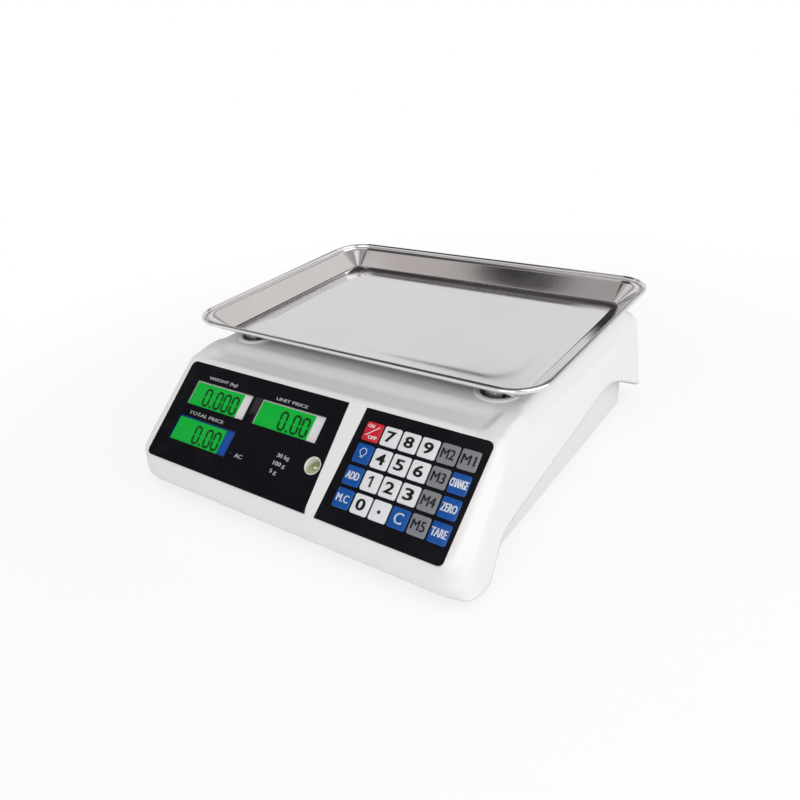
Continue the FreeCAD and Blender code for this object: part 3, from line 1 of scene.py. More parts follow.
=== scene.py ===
"""Retail price scale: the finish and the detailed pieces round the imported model.

Metres, +X to the operator's right, +Y away from the operator, +Z up. The panel frame runs across
(X), up the panel's slope, and out of the panel. The rear frame runs to the customer's right (-X),
up the rear wall, and out of it. Each new piece sits at the origin with its place in its mesh.
"""
import json
import math
import bpy
import numpy as np
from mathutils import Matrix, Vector
from bpy.props import FloatProperty, FloatVectorProperty, PointerProperty
from bpy.types import Operator, Panel, PropertyGroup


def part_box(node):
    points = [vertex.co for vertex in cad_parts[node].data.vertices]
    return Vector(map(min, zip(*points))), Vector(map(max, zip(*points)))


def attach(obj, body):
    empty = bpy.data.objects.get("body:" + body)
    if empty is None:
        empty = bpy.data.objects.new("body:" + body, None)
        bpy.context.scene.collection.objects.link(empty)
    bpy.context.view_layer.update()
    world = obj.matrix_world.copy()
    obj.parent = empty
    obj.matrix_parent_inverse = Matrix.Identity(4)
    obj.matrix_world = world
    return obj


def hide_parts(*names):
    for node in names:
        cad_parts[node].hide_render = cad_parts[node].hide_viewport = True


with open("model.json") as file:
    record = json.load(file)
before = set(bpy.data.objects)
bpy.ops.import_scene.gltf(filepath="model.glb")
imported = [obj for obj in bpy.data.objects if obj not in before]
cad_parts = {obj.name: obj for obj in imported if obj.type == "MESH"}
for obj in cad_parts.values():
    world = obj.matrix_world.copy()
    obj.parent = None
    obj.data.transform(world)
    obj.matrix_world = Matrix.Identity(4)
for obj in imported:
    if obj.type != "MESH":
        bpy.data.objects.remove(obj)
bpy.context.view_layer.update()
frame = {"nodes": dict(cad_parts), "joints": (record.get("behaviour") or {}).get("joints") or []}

bl_info = {
    "name": "Price Scale Finish",
    "version": (1, 0, 0),
    "blender": (4, 5, 0),
    "location": "View3D > Sidebar > Scale",
    "description": "Builds the finish of a counter-top price scale round its packed model",
    "category": "Object",
}

MM = 0.001
NODES = frame["nodes"]
JOINTS = {joint["name"]: joint for joint in frame["joints"]}


def shown(red, green, blue):
    """A colour as it shows on a screen, 0 to 255, as the linear colour that shaders take."""
    share = np.array([red, green, blue]) / 255
    low = share / 12.92
    high = ((share + 0.055) / 1.055) ** 2.4
    return tuple(np.where(share <= 0.04045, low, high))


def tone_property(name, description, *tone):
    """A colour that a user may change, given as it shows on a screen."""
    return FloatVectorProperty(name=name, description=description, subtype="COLOR", min=0, max=1,
                               default=shown(*tone))


def size_property(name, description, size):
    """A size that a user may change, given in millimetres."""
    return FloatProperty(name=name, description=description, unit="LENGTH", default=size * MM)


# ---------------------------------------------------------------- places taken from the model

def box_of(node):
    low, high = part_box(node)
    return np.array(low), np.array(high)


HOUSING_LOW, HOUSING_HIGH = box_of("upper_housing")
WINDOW_LOW = box_of("display_window")[0]
INTO_PANEL = np.array(JOINTS["key_5_press"]["axis"])
SLOPE = math.atan2(INTO_PANEL[1], -INTO_PANEL[2])
UP_SLOPE = np.array([0.0, math.cos(SLOPE), math.sin(SLOPE)])
OUT_OF_PANEL = -INTO_PANEL
PANEL_SUNK = 0.3 * MM
PANEL_THICK = 1.6 * MM
PANEL_GAP = 0.15 * MM
# The window's lowest front edge lies one gap up the slope, and one sunk depth under the face.
PANEL_FOOT = np.array([
    0.0,
    WINDOW_LOW[1] - PANEL_GAP * math.cos(SLOPE) - PANEL_SUNK * math.sin(SLOPE),
    WINDOW_LOW[2] - PANEL_GAP * math.sin(SLOPE)
    + (PANEL_SUNK + PANEL_THICK) * math.cos(SLOPE),
])
WALL_LEAN = math.radians(5.5)
UP_REAR = np.array([0.0, -math.sin(WALL_LEAN), math.cos(WALL_LEAN)])
OUT_OF_REAR = np.array([0.0, math.cos(WALL_LEAN), math.sin(WALL_LEAN)])
HALF_WIDE = HOUSING_HIGH[0]
HALF_DEEP = -HOUSING_LOW[1]
SKIRT = HOUSING_LOW[2]
REAR_FOOT = np.array([0.0, HALF_DEEP, SKIRT])
PAN_LOW, PAN_HIGH = box_of("weighing_pan")
LEG_LOW, LEG_HIGH = box_of("pan_legs")
LEG_RADIUS = 11.5 * MM


class Face:
    """A flat side of the housing as a frame: its foot, and the directions across it, up it and
    out of it."""

    def __init__(self, foot, across, up, out):
        self.foot, self.across, self.up, self.out = foot, np.array(across), up, out

    def __call__(self, across, up, out):
        """Points of the frame as points of the model: arrays of one shape become points along
        one more axis."""
        across, up, out = np.broadcast_arrays(across, up, out)
        return (self.foot + across[..., None] * self.across + up[..., None] * self.up
                + out[..., None] * self.out)

    def node(self, name):
        """How far a node's points lie across the frame and up it."""
        points = mesh_points(NODES[name].data) - self.foot
        return points @ self.across, points @ self.up


on_panel = Face(PANEL_FOOT, (1.0, 0, 0), UP_SLOPE, OUT_OF_PANEL)
on_rear = Face(REAR_FOOT, (-1.0, 0, 0), UP_REAR, OUT_OF_REAR)


def side_box(name, face=on_panel):
    """A node's lowest and highest X, and its lower and upper side in the panel or rear frame."""
    low, high = box_of(name)
    up = face.node(name)[1]
    return low[0], high[0], up.min(), up.max()


def mesh_points(mesh):
    points = np.zeros(len(mesh.vertices) * 3)
    mesh.vertices.foreach_get("co", points)
    return points.reshape(-1, 3)


# ---------------------------------------------------------------- meshes

def grid_faces(rows, columns, along=False):
    """The quads of a grid of points whose last column joins the first; along joins the rows too."""
    index = np.arange(rows * columns).reshape(rows, columns)
    index = np.concatenate([index, index[:, :1]], axis=1)
    if along:
        index = np.concatenate([index, index[:1]], axis=0)
    corners = [index[:-1, :-1], index[:-1, 1:], index[1:, 1:], index[1:, :-1]]
    return np.stack(corners, axis=-1).reshape(-1, 4).tolist()


def end_face(rows, columns):
    """One flat face over a grid's last row."""
    return list(range((rows - 1) * columns, rows * columns))


def tube(rings, start=True, along=False):
    """Points and faces of rings carried along a path, each ring closed; start caps the first ring,
    and the last is capped unless the path is closed as well."""
    rows, columns = rings.shape[:2]
    faces = grid_faces(rows, columns, along)
    if start and not along:
        faces.append(list(range(columns))[::-1])
    if not along:
        faces.append(end_face(rows, columns))
    return rings.reshape(-1, 3), faces


def full_turn(sides):
    """The angles of so many even steps round a circle."""
    return np.linspace(0, 2 * math.pi, sides, endpoint=False)


def turned(profile, centre, sides=48, ripple=0.0):
    """A profile of radii and heights spun about an upright axis: a point of the profile at each
    angle stands at its radius, less the ripple, round the centre and at its height."""
    angle = full_turn(sides)
    profile = np.array(profile)
    reach = profile[:, :1] - ripple
    return np.stack(np.broadcast_arrays(centre[0] + reach * np.cos(angle),
                                        centre[1] + reach * np.sin(angle), profile[:, 1:]),
                    axis=-1)


def bored(profile, place, across, up, sides):
    """A profile of radii and distances out of a frame's plane, in millimetres, spun about an axis
    that stands on the plane."""
    turn = full_turn(sides)
    return np.stack([place(across + radius * MM * np.cos(turn), up + radius * MM * np.sin(turn),
                           out * MM) for radius, out in profile])


def prism(outline, low, high, place):
    """A flat outline, anticlockwise, raised from one height to another in a frame."""
    across, up = np.array(outline).T
    rings = np.stack([place(across, up, np.full_like(across, level)) for level in (low, high)])
    return tube(rings)


def loop_frame(corner, wide_side, tall_side):
    """Four numbers for each point of a round-cornered loop: how far it lies to the right and to
    the top, from -1 to 1, and the direction that it faces."""
    signs = np.array([(1, 1), (-1, 1), (-1, -1), (1, -1)])
    points = []
    for quarter in range(4):
        start, end = signs[quarter], signs[(quarter + 1) % 4]
        turn = np.linspace(quarter, quarter + 1, corner + 1) * math.pi / 2
        points += [(*start, angle) for angle in turn]
        side = (wide_side, tall_side)[quarter % 2]
        points += [(*(start + (end - start) * share), turn[-1])
                   for share in np.linspace(0, 1, side + 1)[1:-1]]
    right, top, angle = np.array(points).T
    return right, top, np.cos(angle), np.sin(angle)


def mesh_of(parts):
    """One mesh from several lots of points and faces."""
    points, faces, count = [], [], 0
    for part_points, part_faces in parts:
        points.append(np.asarray(part_points).reshape(-1, 3))
        faces += [[corner + count for corner in face] for face in part_faces]
        count += len(points[-1])
    mesh = bpy.data.meshes.new("mesh")
    mesh.from_pydata(np.concatenate(points).tolist(), [], faces)
    mesh.update()
    return mesh


def piece(name, parts, material, body="base", replaces=(), smooth=40):
    """A finished piece: its mesh and material, the body it rides on and the nodes it stands
    for."""
    mesh = mesh_of(parts)
    mesh.name = name
    made = bpy.data.objects.new(name, mesh)
    bpy.context.scene.collection.objects.link(made)
    mesh.materials.append(material)
    mesh.shade_smooth()
    mesh.set_sharp_from_angle(angle=math.radians(smooth))
    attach(made, body)
    if replaces:
        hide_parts(*replaces)
    return made


def flat_curve(outlines, depth, bevel=0.0):
    """A plate: the first outline filled, less the others, to half a depth each side of its plane.
    Returns its points and faces in the plate's own plane."""
    curve = bpy.data.curves.new("plate", "CURVE")
    curve.dimensions = "2D"
    curve.fill_mode = "BOTH"
    curve.extrude = depth / 2 - bevel
    curve.bevel_depth = bevel
    curve.offset = -bevel
    for outline in outlines:
        spline = curve.splines.new("POLY")
        count = len(outline)
        spline.points.add(count - 1)
        flat = np.column_stack([outline, np.zeros(count), np.ones(count)])
        spline.points.foreach_set("co", flat.ravel())
        spline.use_cyclic_u = True
    return as_mesh(curve)


def as_mesh(curve):
    """The points and faces of a curve or a text, with doubled points merged."""
    holder = bpy.data.objects.new("holder", curve)
    bpy.context.scene.collection.objects.link(holder)
    graph = bpy.context.evaluated_depsgraph_get()
    mesh = bpy.data.meshes.new_from_object(holder.evaluated_get(graph))
    points = mesh_points(mesh)
    faces = [list(face.vertices) for face in mesh.polygons]
    bpy.data.objects.remove(holder)
    bpy.data.meshes.remove(mesh)
    return points, faces


# Height of the built-in font's capitals at a size of 1.
CAPITAL = 0.73


def words(text, tall, wide, bold=0.0, thick=0.04 * MM):
    """Lettering about its own middle, with capitals of a height and a line of a width: points and
    faces in its plane."""
    curve = bpy.data.curves.new("words", "FONT")
    curve.body = text
    curve.size = 1.0
    curve.offset = bold
    curve.resolution_u = 3
    points, faces = as_mesh(curve)
    low, high = points.min(axis=0), points.max(axis=0)
    points = points - [(low[0] + high[0]) / 2, CAPITAL / 2, 0]
    points *= [wide / (high[0] - low[0]), tall / CAPITAL, 1]
    count = len(points)
    raised = np.concatenate([points, points])
    raised[:, 2] = np.repeat([thick, 0], count)
    edges = {pair: True for face in faces for pair in zip(face, face[1:] + face[:1])}
    sides = [[end, start, start + count, end + count]
             for start, end in edges if (end, start) not in edges]
    under = [[corner + count for corner in reversed(face)] for face in faces]
    return raised, faces + sides + under


def laid(part, place, across=0.0, up=0.0, out=0.0):
    """A part drawn in a plane, laid in a frame at a place."""
    points, faces = part
    return place(points[:, 0] + across, points[:, 1] + up, points[:, 2] + out), faces


# ---------------------------------------------------------------- materials

class Nodes:
    """A node tree, with short calls that add to it."""

    def __init__(self, owner):
        owner.use_nodes = True
        self.tree = owner.node_tree

    def add(self, kind, values=(), links=(), **settings):
        """A new node with its settings, its sockets' values and what feeds its sockets."""
        node = self.tree.nodes.new("ShaderNode" + kind)
        for key, value in settings.items():
            setattr(node, key, value)
        for socket, value in dict(values).items():
            node.inputs[socket].default_value = value
        for socket, source in dict(links).items():
            self.join(source, node.inputs[socket])
        return node

    def join(self, source, target):
        self.tree.links.new(source, target)

    def spread(self, source, from_low, from_high, low, high, **settings):
        """A value carried from one range to another."""
        values = {"From Min": from_low, "From Max": from_high, "To Min": low, "To Max": high}
        return self.add("MapRange", values, {"Value": source}, **settings).outputs["Result"]

    def any_ray(self, *kinds):
        """1 for rays of these kinds and 0 for the others."""
        path = self.add("LightPath")
        share = path.outputs[kinds[0]]
        for kind in kinds[1:]:
            links = {0: share, 1: path.outputs[kind]}
            share = self.add("Math", links=links, operation="MAXIMUM").outputs[0]
        return share

    def blend(self, share, first, second):
        """Two shaders mixed by a share of the second."""
        return self.add("MixShader", links={"Fac": share, 1: first, 2: second}).outputs[0]

    def ramp(self, source, tones):
        """A scale of tones: each a position, a red, green and blue."""
        ramp = self.add("ValToRGB", links={"Fac": source})
        stops = ramp.color_ramp.elements
        for index, (position, *tone) in enumerate(tones):
            stop = stops[0] if index == 0 else stops.new(position)
            stop.position = position
            stop.color = (*tone, 1)
        stops.remove(stops[-1])
        return ramp.outputs["Color"]


class Shader(Nodes):
    """A material with one principled shader, and short calls that give it its detail."""

    def __init__(self, name, colour, roughness, metallic=0.0, **sockets):
        self.material = bpy.data.materials.new(name)
        super().__init__(self.material)
        self.colour = tuple(colour)
        self.material.diffuse_color = (*colour, 1)
        self.shader = self.tree.nodes["Principled BSDF"]
        sockets = {"Base Color": (*colour, 1), "Roughness": roughness, "Metallic": metallic,
                   **sockets}
        for socket, value in sockets.items():
            self.shader.inputs[socket.replace("_", " ")].default_value = value
        self.place = self.add("TexCoord").outputs["Object"]

    def noise(self, scale, detail=3.0, stretch=(1, 1, 1)):
        """Noise on the object's own place, with so many grains to the metre along each axis."""
        mapping = self.add("Mapping", {"Scale": stretch}, {"Vector": self.place})
        noise = self.add("TexNoise", {"Scale": scale, "Detail": detail},
                         {"Vector": mapping.outputs["Vector"]})
        return noise.outputs["Fac"]

    def ranged(self, source, low, high):
        """A noise of 0.3 to 0.7 spread over a range."""
        return self.spread(source, 0.3, 0.7, low, high)

    def vary_colour(self, source, amount, other=None):
        """Blends the base colour towards another, or a darker one, by a noise."""
        other = other or tuple(share * 0.8 for share in self.colour)
        mix = self.add("Mix", {6: (*self.colour, 1), 7: (*other, 1)},
                       {0: self.ranged(source, 0, amount)}, data_type="RGBA")
        self.join(mix.outputs[2], self.shader.inputs["Base Color"])

    def bump(self, source, height):
        node = self.add("Bump", {"Distance": height}, {"Height": source})
        self.join(node.outputs["Normal"], self.shader.inputs["Normal"])

    def detailed(self, tint=None, gloss=None, grain=None):
        """The finished material. Each detail is a noise and what it does: tint, how far the
        colour strays and towards which; gloss, the range of the roughness; grain, its height."""
        if tint:
            self.vary_colour(self.noise(*tint[0]), *tint[1:])
        if gloss:
            self.join(self.ranged(self.noise(*gloss[0]), *gloss[1:]),
                      self.shader.inputs["Roughness"])
        if grain:
            self.bump(self.noise(*grain[0]), grain[1])
        return self.material


def moulded(name, colour, roughness=0.35, grain=0.02 * MM, specks=1400, soil=0.10, shine=0.5):
    """Moulded plastic: a fine spark-eroded grain, and colour and gloss that drift slowly."""
    return Shader(name, colour, roughness, Specular_IOR_Level=shine).detailed(
        ((18, 4), soil), ((60, 5), roughness - 0.06, roughness + 0.08), ((specks, 2), grain))


def polished(name, colour, roughness, streaks=(1, 1, 1), depth=0.004 * MM):
    """Bright metal: fine rubbing marks along one axis and faint clouds in its gloss."""
    return Shader(name, colour, roughness, metallic=1.0).detailed(
        ((14, 3), 0.15), ((9, 4), roughness - 0.03, roughness + 0.05),
        ((900, 3, streaks), depth))


def acrylic(name, colour, roughness=0.16, grain=0.004 * MM, specks=500):
    """Dark acrylic sheet: almost smooth, with soft clouds in its gloss."""
    return moulded(name, colour, roughness, grain, specks, 0.25, 0.3)


def printed(name, colour, roughness=0.45):
    """Printed ink, very slightly uneven."""
    return Shader(name, colour, roughness).detailed(
        ((240, 3), 0.12), ((600, 2), roughness - 0.05, roughness + 0.08))


def backlit(name, colour, edge, glow):
    """A display glass lit from behind: a colour that fades in soft clouds, with a weak glow."""
    made = Shader(name, colour, 0.22, Emission_Color=(*colour, 1), Emission_Strength=glow)
    return made.detailed(((22, 2), 0.35, edge), ((90, 2), 0.18, 0.26))


def rubbery(name, colour):
    """Rubber: dull, with a coarse mottled skin."""
    return Shader(name, colour, 0.75).detailed(((120, 5), 0.4), grain=((900, 4), 0.03 * MM))


def circuit_board(name, colour):
    """Solder mask with the faint lines of tracks under it."""
    made = Shader(name, colour, 0.3)
    tones = {socket: (*(share * bright for share in colour), 1)
             for socket, bright in (("Color1", 1), ("Color2", 1.25), ("Mortar", 1.8))}
    tracks = made.add("TexBrick", {"Scale": 220, **tones}, {"Vector": made.place})
    made.join(tracks.outputs["Color"], made.shader.inputs["Base Color"])
    return made.detailed(gloss=((80, 3), 0.25, 0.4))


def laminated(name, colour):
    """Varnished iron sheets: thin upright stripes."""
    made = Shader(name, colour, 0.45, metallic=0.6)
    stripes = made.add("TexWave", {"Scale": 300}, {"Vector": made.place}, wave_type="BANDS",
                       bands_direction="Y")
    made.vary_colour(stripes.outputs["Fac"], 0.5)
    made.bump(stripes.outputs["Fac"], 0.05 * MM)
    return made.material


# ---------------------------------------------------------------- housing

class ShellSettings(PropertyGroup):
    """The white housing."""

    colour: tone_property("Housing colour", "Colour of the moulded housing", 238, 236, 235)
    tray_colour: tone_property("Tray colour", "Colour of the lower housing", 232, 231, 229)
    wall: size_property("Wall", "Wall of the housing", 2.6)
    shoulder: size_property("Shoulder", "Height of the level shoulder", 91)
    plateau: size_property("Plateau", "Height of the plateau under the pan", 98)
    rim_round: size_property("Rim", "Radius of the shoulder's outer edge", 13)
    lip_round: size_property("Lip", "Radius of the front wall's upper edge", 4)


CORNER = 22 * MM
CONSOLE_HALF = 152.5 * MM
CONSOLE_RISE = 3 * MM
FACE_UNDER = 0.45 * MM
BROW_UP = 94.4 * MM
BROW_ALONG = PANEL_FOOT[1] + BROW_UP * math.cos(SLOPE)
BROW_LEVEL = PANEL_FOOT[2] + BROW_UP * math.sin(SLOPE) - 0.8 * MM
RIDGE_INNER = 137.5 * MM
RIDGE_RISE = 0.2
PLATEAU_HALF = 152.5 * MM
PLATEAU_FRONT = -70 * MM
PLATEAU_REAR = 149 * MM
PLATEAU_CORNER = 11 * MM
# The flat middle that the skin's last ring closes on.
FLAT_FRONT = PLATEAU_FRONT + 9 * MM
FLAT_REAR = 92 * MM
FLAT_CORNER = 12 * MM
LEG_HOLE = 14 * MM
COLLAR_OUT = 18 * MM
ARCH_START = (-140 * MM, 9 * MM)
ARCH_KNEE = (-117 * MM, 33.5 * MM)
ARCH_TOP = (86 * MM, 55.5 * MM)
ARCH_END = (173.5 * MM, 9 * MM)


def leg_places():
    return [(x, y) for x in (LEG_LOW[0] + LEG_RADIUS, LEG_HIGH[0] - LEG_RADIUS)
            for y in (LEG_LOW[1] + LEG_RADIUS, LEG_HIGH[1] - LEG_RADIUS)]


def soft_min(first, second, blend):
    """The lower of two heights, with a parabola over the stretch where they differ by less than
    the blend."""
    share = np.clip(0.5 + 0.5 * (second - first) / blend, 0, 1)
    return second + (first - second) * share - blend * share * (1 - share)


def ease(value, start, end):
    """0 before the start, 1 after the end, and a smooth step between."""
    share = np.clip((value - start) / (end - start), 0, 1)
    return share * share * (3 - 2 * share)


def panel_height(along, depth):
    """Height of the plane at a depth under the panel's face, at a distance along Y."""
    return (PANEL_FOOT[2] + (along - PANEL_FOOT[1]) * math.tan(SLOPE)
            - depth / math.cos(SLOPE))


def arch_height(along):
    """Height of the side arch's edge: the lowest of three lines, blended where they meet."""
    def line(start, end):
        return start[1] + (along - start[0]) * (end[1] - start[1]) / (end[0] - start[0])

    rise = line(ARCH_START, ARCH_KNEE)
    back = line(ARCH_KNEE, ARCH_TOP)
    fall = line(ARCH_TOP, ARCH_END)
    return soft_min(soft_min(rise, back, 8 * MM), fall, 16 * MM)


def inside_box(across, along, half, front, rear, corner):
    """Distance inside a round-cornered box seen from above, negative outside."""
    far_x = np.abs(across) - (half - corner)
    far_y = np.abs(along - (front + rear) / 2) - ((rear - front) / 2 - corner)
    outside = np.hypot(np.maximum(far_x, 0), np.maximum(far_y, 0))
    return corner - outside - np.minimum(np.maximum(far_x, far_y), 0)


def lifted(height, goal, share):
    """A height raised by a share of the way to a goal, where the goal is higher."""
    return height + np.maximum(goal - height, 0) * share


def shoulder_height(along, settings):
    """Height of the level shoulder and the slope in front of it."""
    return soft_min(settings.shoulder, panel_height(along, CONSOLE_RISE), 9 * MM)


def shell_height(across, along, settings, rim_drop=0, lip_drop=0):
    """Height of the housing's top: the shoulder and its front slope, with the rim's drop, under a
    console, a plateau and the ridges between them at both sides, which all rise in smooth steps,
    and the lip's drop at the front."""
    aside = np.abs(across)
    inside = 1 - ease(aside, CONSOLE_HALF - 1 * MM, CONSOLE_HALF + 5 * MM)
    console = inside * (1 - ease(along, BROW_ALONG - 1.5 * MM, BROW_ALONG + 13 * MM))
    ridge = inside * ease(aside, RIDGE_INNER - 7 * MM, RIDGE_INNER + 4 * MM) \
        * ease(along, BROW_ALONG - 2.5 * MM, BROW_ALONG + 1.5 * MM) \
        * (1 - ease(along, PLATEAU_FRONT + 6 * MM, PLATEAU_FRONT + 14 * MM))
    crest = soft_min(settings.plateau - 0.3 * MM,
                     BROW_LEVEL - 1.2 * MM + (along - BROW_ALONG) * RIDGE_RISE, 1.5 * MM)
    depth = inside_box(across, along, PLATEAU_HALF, PLATEAU_FRONT, PLATEAU_REAR, PLATEAU_CORNER)
    height = shoulder_height(along, settings) - rim_drop
    height = lifted(height, soft_min(panel_height(along, FACE_UNDER), BROW_LEVEL, 2.5 * MM),
                    console)
    height = lifted(height, crest, ridge)
    return lifted(height, settings.plateau, ease(depth, -3 * MM, 4.5 * MM)) - lip_drop


def housing_skin(settings):
    """The housing's outer face as rings of points: up the leaning wall from its lower edge or the
    arch, round the rim in a quarter turn, then over the top towards a flat middle. A ring's point
    is the plan outline's point moved in along the outline's own normal."""
    right, back, cosine, sine = loop_frame(corner=15, wide_side=104, tall_side=110)
    front = ease(-sine, 0.55, 0.98)
    radius = settings.rim_round + (settings.lip_round - settings.rim_round) * front
    lean = math.tan(WALL_LEAN)

    def plan(inset):
        return (right * (HALF_WIDE - CORNER) + (CORNER - inset) * cosine,
                back * (HALF_DEEP - CORNER) + (CORNER - inset) * sine)

    wall_top = np.full_like(right, SKIRT + 30 * MM)
    for _ in range(4):
        inset = (wall_top - SKIRT) * lean + radius * 0.3
        across, along = plan(inset)
        under = shoulder_height(along, settings)
        over = shell_height(across, along, settings)
        wall_top = under + (over - under) * front - radius
    edge = np.maximum(SKIRT, arch_height(plan(0)[1]))
    rings = []

    def add_ring(across, along, level):
        rings.append(np.stack([across, along, level], axis=-1))

    for share in np.linspace(0, 1, 15):
        level = edge + (wall_top - edge) * share
        tuck = 5 * MM * front * np.clip(1 - (level - SKIRT) / (13 * MM), 0, 1) ** 2
        add_ring(*plan((level - SKIRT) * lean + tuck), level)
    foot = (wall_top - SKIRT) * lean
    for turn in np.linspace(0, math.pi / 2, 11)[1:]:
        across, along = plan(foot + radius * (1 - math.cos(turn)))
        drop = radius * (1 - math.sin(turn))
        add_ring(across, along,
                 shell_height(across, along, settings, drop * (1 - front), drop * front))
    start_x, start_y, _ = rings[-1].T
    goal_x = right * 88 * MM + FLAT_CORNER * cosine
    goal_y = (FLAT_FRONT + FLAT_REAR) / 2 + FLAT_CORNER * sine \
        + back * ((FLAT_REAR - FLAT_FRONT) / 2 - FLAT_CORNER)
    for share in np.linspace(0, 1, 46)[1:]:
        across = start_x + (goal_x - start_x) * share
        along = start_y + (goal_y - start_y) * share
        add_ring(across, along, shell_height(across, along, settings))
    return np.stack(rings)


REAR_BOX = side_box("rear_window", on_rear)
INLET_BOX = side_box("power_inlet", on_rear)
# How far the skin's holes stay inside what stands in them.
PANEL_LAP = 1.9 * MM
REAR_LAP = 2.9 * MM
INLET_LAP = 2.5 * MM
DENT_DEEP = 0.4 * MM
DENT_EDGE = 1.5 * MM
# Faces further back than this belong to the rear wall, and higher ones to the housing's top.
REAR_PART = 160 * MM
TOP_PART = 80 * MM


def depth_in(across, up, corners):
    """How far points lie inside a straight-sided outline: the least distance from its sides,
    below nought outside."""
    depth = np.inf
    for (x0, y0), (x1, y1) in zip(corners, np.roll(corners, -1, axis=0)):
        length = math.hypot(x1 - x0, y1 - y0)
        depth = np.minimum(depth, ((x1 - x0) * (up - y0) - (y1 - y0) * (across - x0)) / length)
    return depth


def dent_rear(points):
    """Lets the rear wall in behind the customer's window and the inlet, so that both stand
    proud."""
    up = (points - REAR_FOOT) @ UP_REAR
    behind = points[..., 1] > 0
    for box in (REAR_BOX, INLET_BOX):
        near = depth_in(points[..., 0], up, rectangle(*box))
        depth = DENT_DEEP * ease(near, -2 * DENT_EDGE, -DENT_EDGE) * behind
        points = points - depth[..., None] * OUT_OF_REAR
    return points


def panel_corners(node):
    """The four corners of a panel in the panel frame: from the lower left, anticlockwise."""
    across, up = on_panel.node(node)
    low = up < up.min() + 8 * MM
    high = up > up.max() - 8 * MM
    return [(across[low].min(), up.min()), (across[low].max(), up.min()),
            (across[high].max(), up.max()), (across[high].min(), up.max())]


def open_holes(points, faces):
    """Drops the faces of the skin that lie behind the panels and the customer's window, in the
    leg holes and in the inlet."""
    centre = points[np.array(faces)].mean(axis=1)
    across, along, height = centre.T
    place = centre - PANEL_FOOT
    facing = np.abs(place @ OUT_OF_PANEL) < 3 * MM
    gone = np.zeros(len(faces), bool)
    for node in ("display_window", "keypad_bezel"):
        gone |= facing & (depth_in(across, place @ UP_SLOPE, panel_corners(node)) > PANEL_LAP)
    for x, y in leg_places():
        gone |= (np.hypot(across - x, along - y) < LEG_HOLE + 1.5 * MM) & (height > TOP_PART)
    up = (centre - REAR_FOOT) @ UP_REAR
    for box, lap in ((INLET_BOX, INLET_LAP), (REAR_BOX, REAR_LAP)):
        gone |= (along > REAR_PART) & (depth_in(across, up, rectangle(*box)) > lap)
    return [face for face, drop in zip(faces, gone) if not drop]


def collar(x, y, settings):
    """A leg hole's collar: a round-topped ring with a tube that goes down through the plateau."""
    top = HOUSING_HIGH[2]
    plateau = settings.plateau
    turn = np.linspace(0, math.pi / 2, 6)
    edge = 1.0 * MM
    brim = 1.2 * MM
    outer = COLLAR_OUT + brim
    profile = [(LEG_HOLE, plateau - 9 * MM)]
    profile += [(LEG_HOLE + edge - edge * math.cos(step), top - edge + edge * math.sin(step))
                for step in turn]
    profile += [(COLLAR_OUT - brim + brim * math.sin(step), top - brim + brim * math.cos(step))
                for step in turn]
    sleeve = LEG_HOLE + settings.wall * 0.6
    profile += [(outer, plateau - 0.3 * MM), (outer, plateau - 2 * MM),
                (sleeve, plateau - 2.2 * MM), (sleeve, plateau - 9 * MM)]
    return tube(turned(profile, (x, y))[:, ::-1], along=True)


class SCALE_OT_housing(Operator):
    """Builds the white housing's skin and the leg holes' collars, and finishes the tray."""

    bl_idname = "scale.housing"
    bl_label = "Housing"

    def execute(self, context):
        settings = context.scene.scale_shell
        white = moulded("housing_plastic", settings.colour, 0.38)
        rings = dent_rear(housing_skin(settings))
        rows, columns = rings.shape[:2]
        points = rings.reshape(-1, 3)
        faces = open_holes(points, grid_faces(rows, columns)) + [end_face(rows, columns)]
        skin = piece("housing_skin", [(points, faces)], white,
                     replaces=["upper_housing"], smooth=60)
        wall = skin.modifiers.new("wall", "SOLIDIFY")
        wall.thickness = settings.wall
        wall.offset = -1
        collars = [collar(x, y, settings) for x, y in leg_places()]
        piece("leg_hole_collars", collars, white)
        tray = moulded("tray_plastic", settings.tray_colour, 0.5, 0.05 * MM, 900)
        finish_nodes(tray, "lower_housing", "battery_door")
        return {"FINISHED"}


def finish_nodes(material, *names):
    """Gives carried-over nodes a material."""
    for name in names:
        mesh = NODES[name].data
        mesh.materials.clear()
        mesh.materials.append(material)


# ---------------------------------------------------------------- pan

class PanSettings(PropertyGroup):
    """The steel pan."""

    colour: tone_property("Steel", "Colour of the polished steel", 226, 224, 226)
    roughness: FloatProperty(name="Roughness", description="Blur of the steel's reflections",
                             default=0.08, min=0, max=1)
    bow: size_property("Bow", "Hollow of the walls between their fold and rim", 0.15)
    sheet: size_property("Sheet", "Thickness of the sheet", 0.8)
    fold: size_property("Fold", "Radius between the floor and the walls", 4.2)
    panel_rise: size_property("Pressed field", "Height of the pressed field in the floor", 0.25)


PAN_LEAN = math.radians(53)
RIM_BEAD = 2.2 * MM
PAN_FLOOR_CORNER = 6 * MM
# The pressed field in the pan's floor: the profile's points, and where the field's edge rises.
FIELD_STEPS = np.array([60, 52, 47, 44, 42, 40, 38, 35, 31]) * MM
FIELD_EDGE = (36 * MM, 45 * MM)


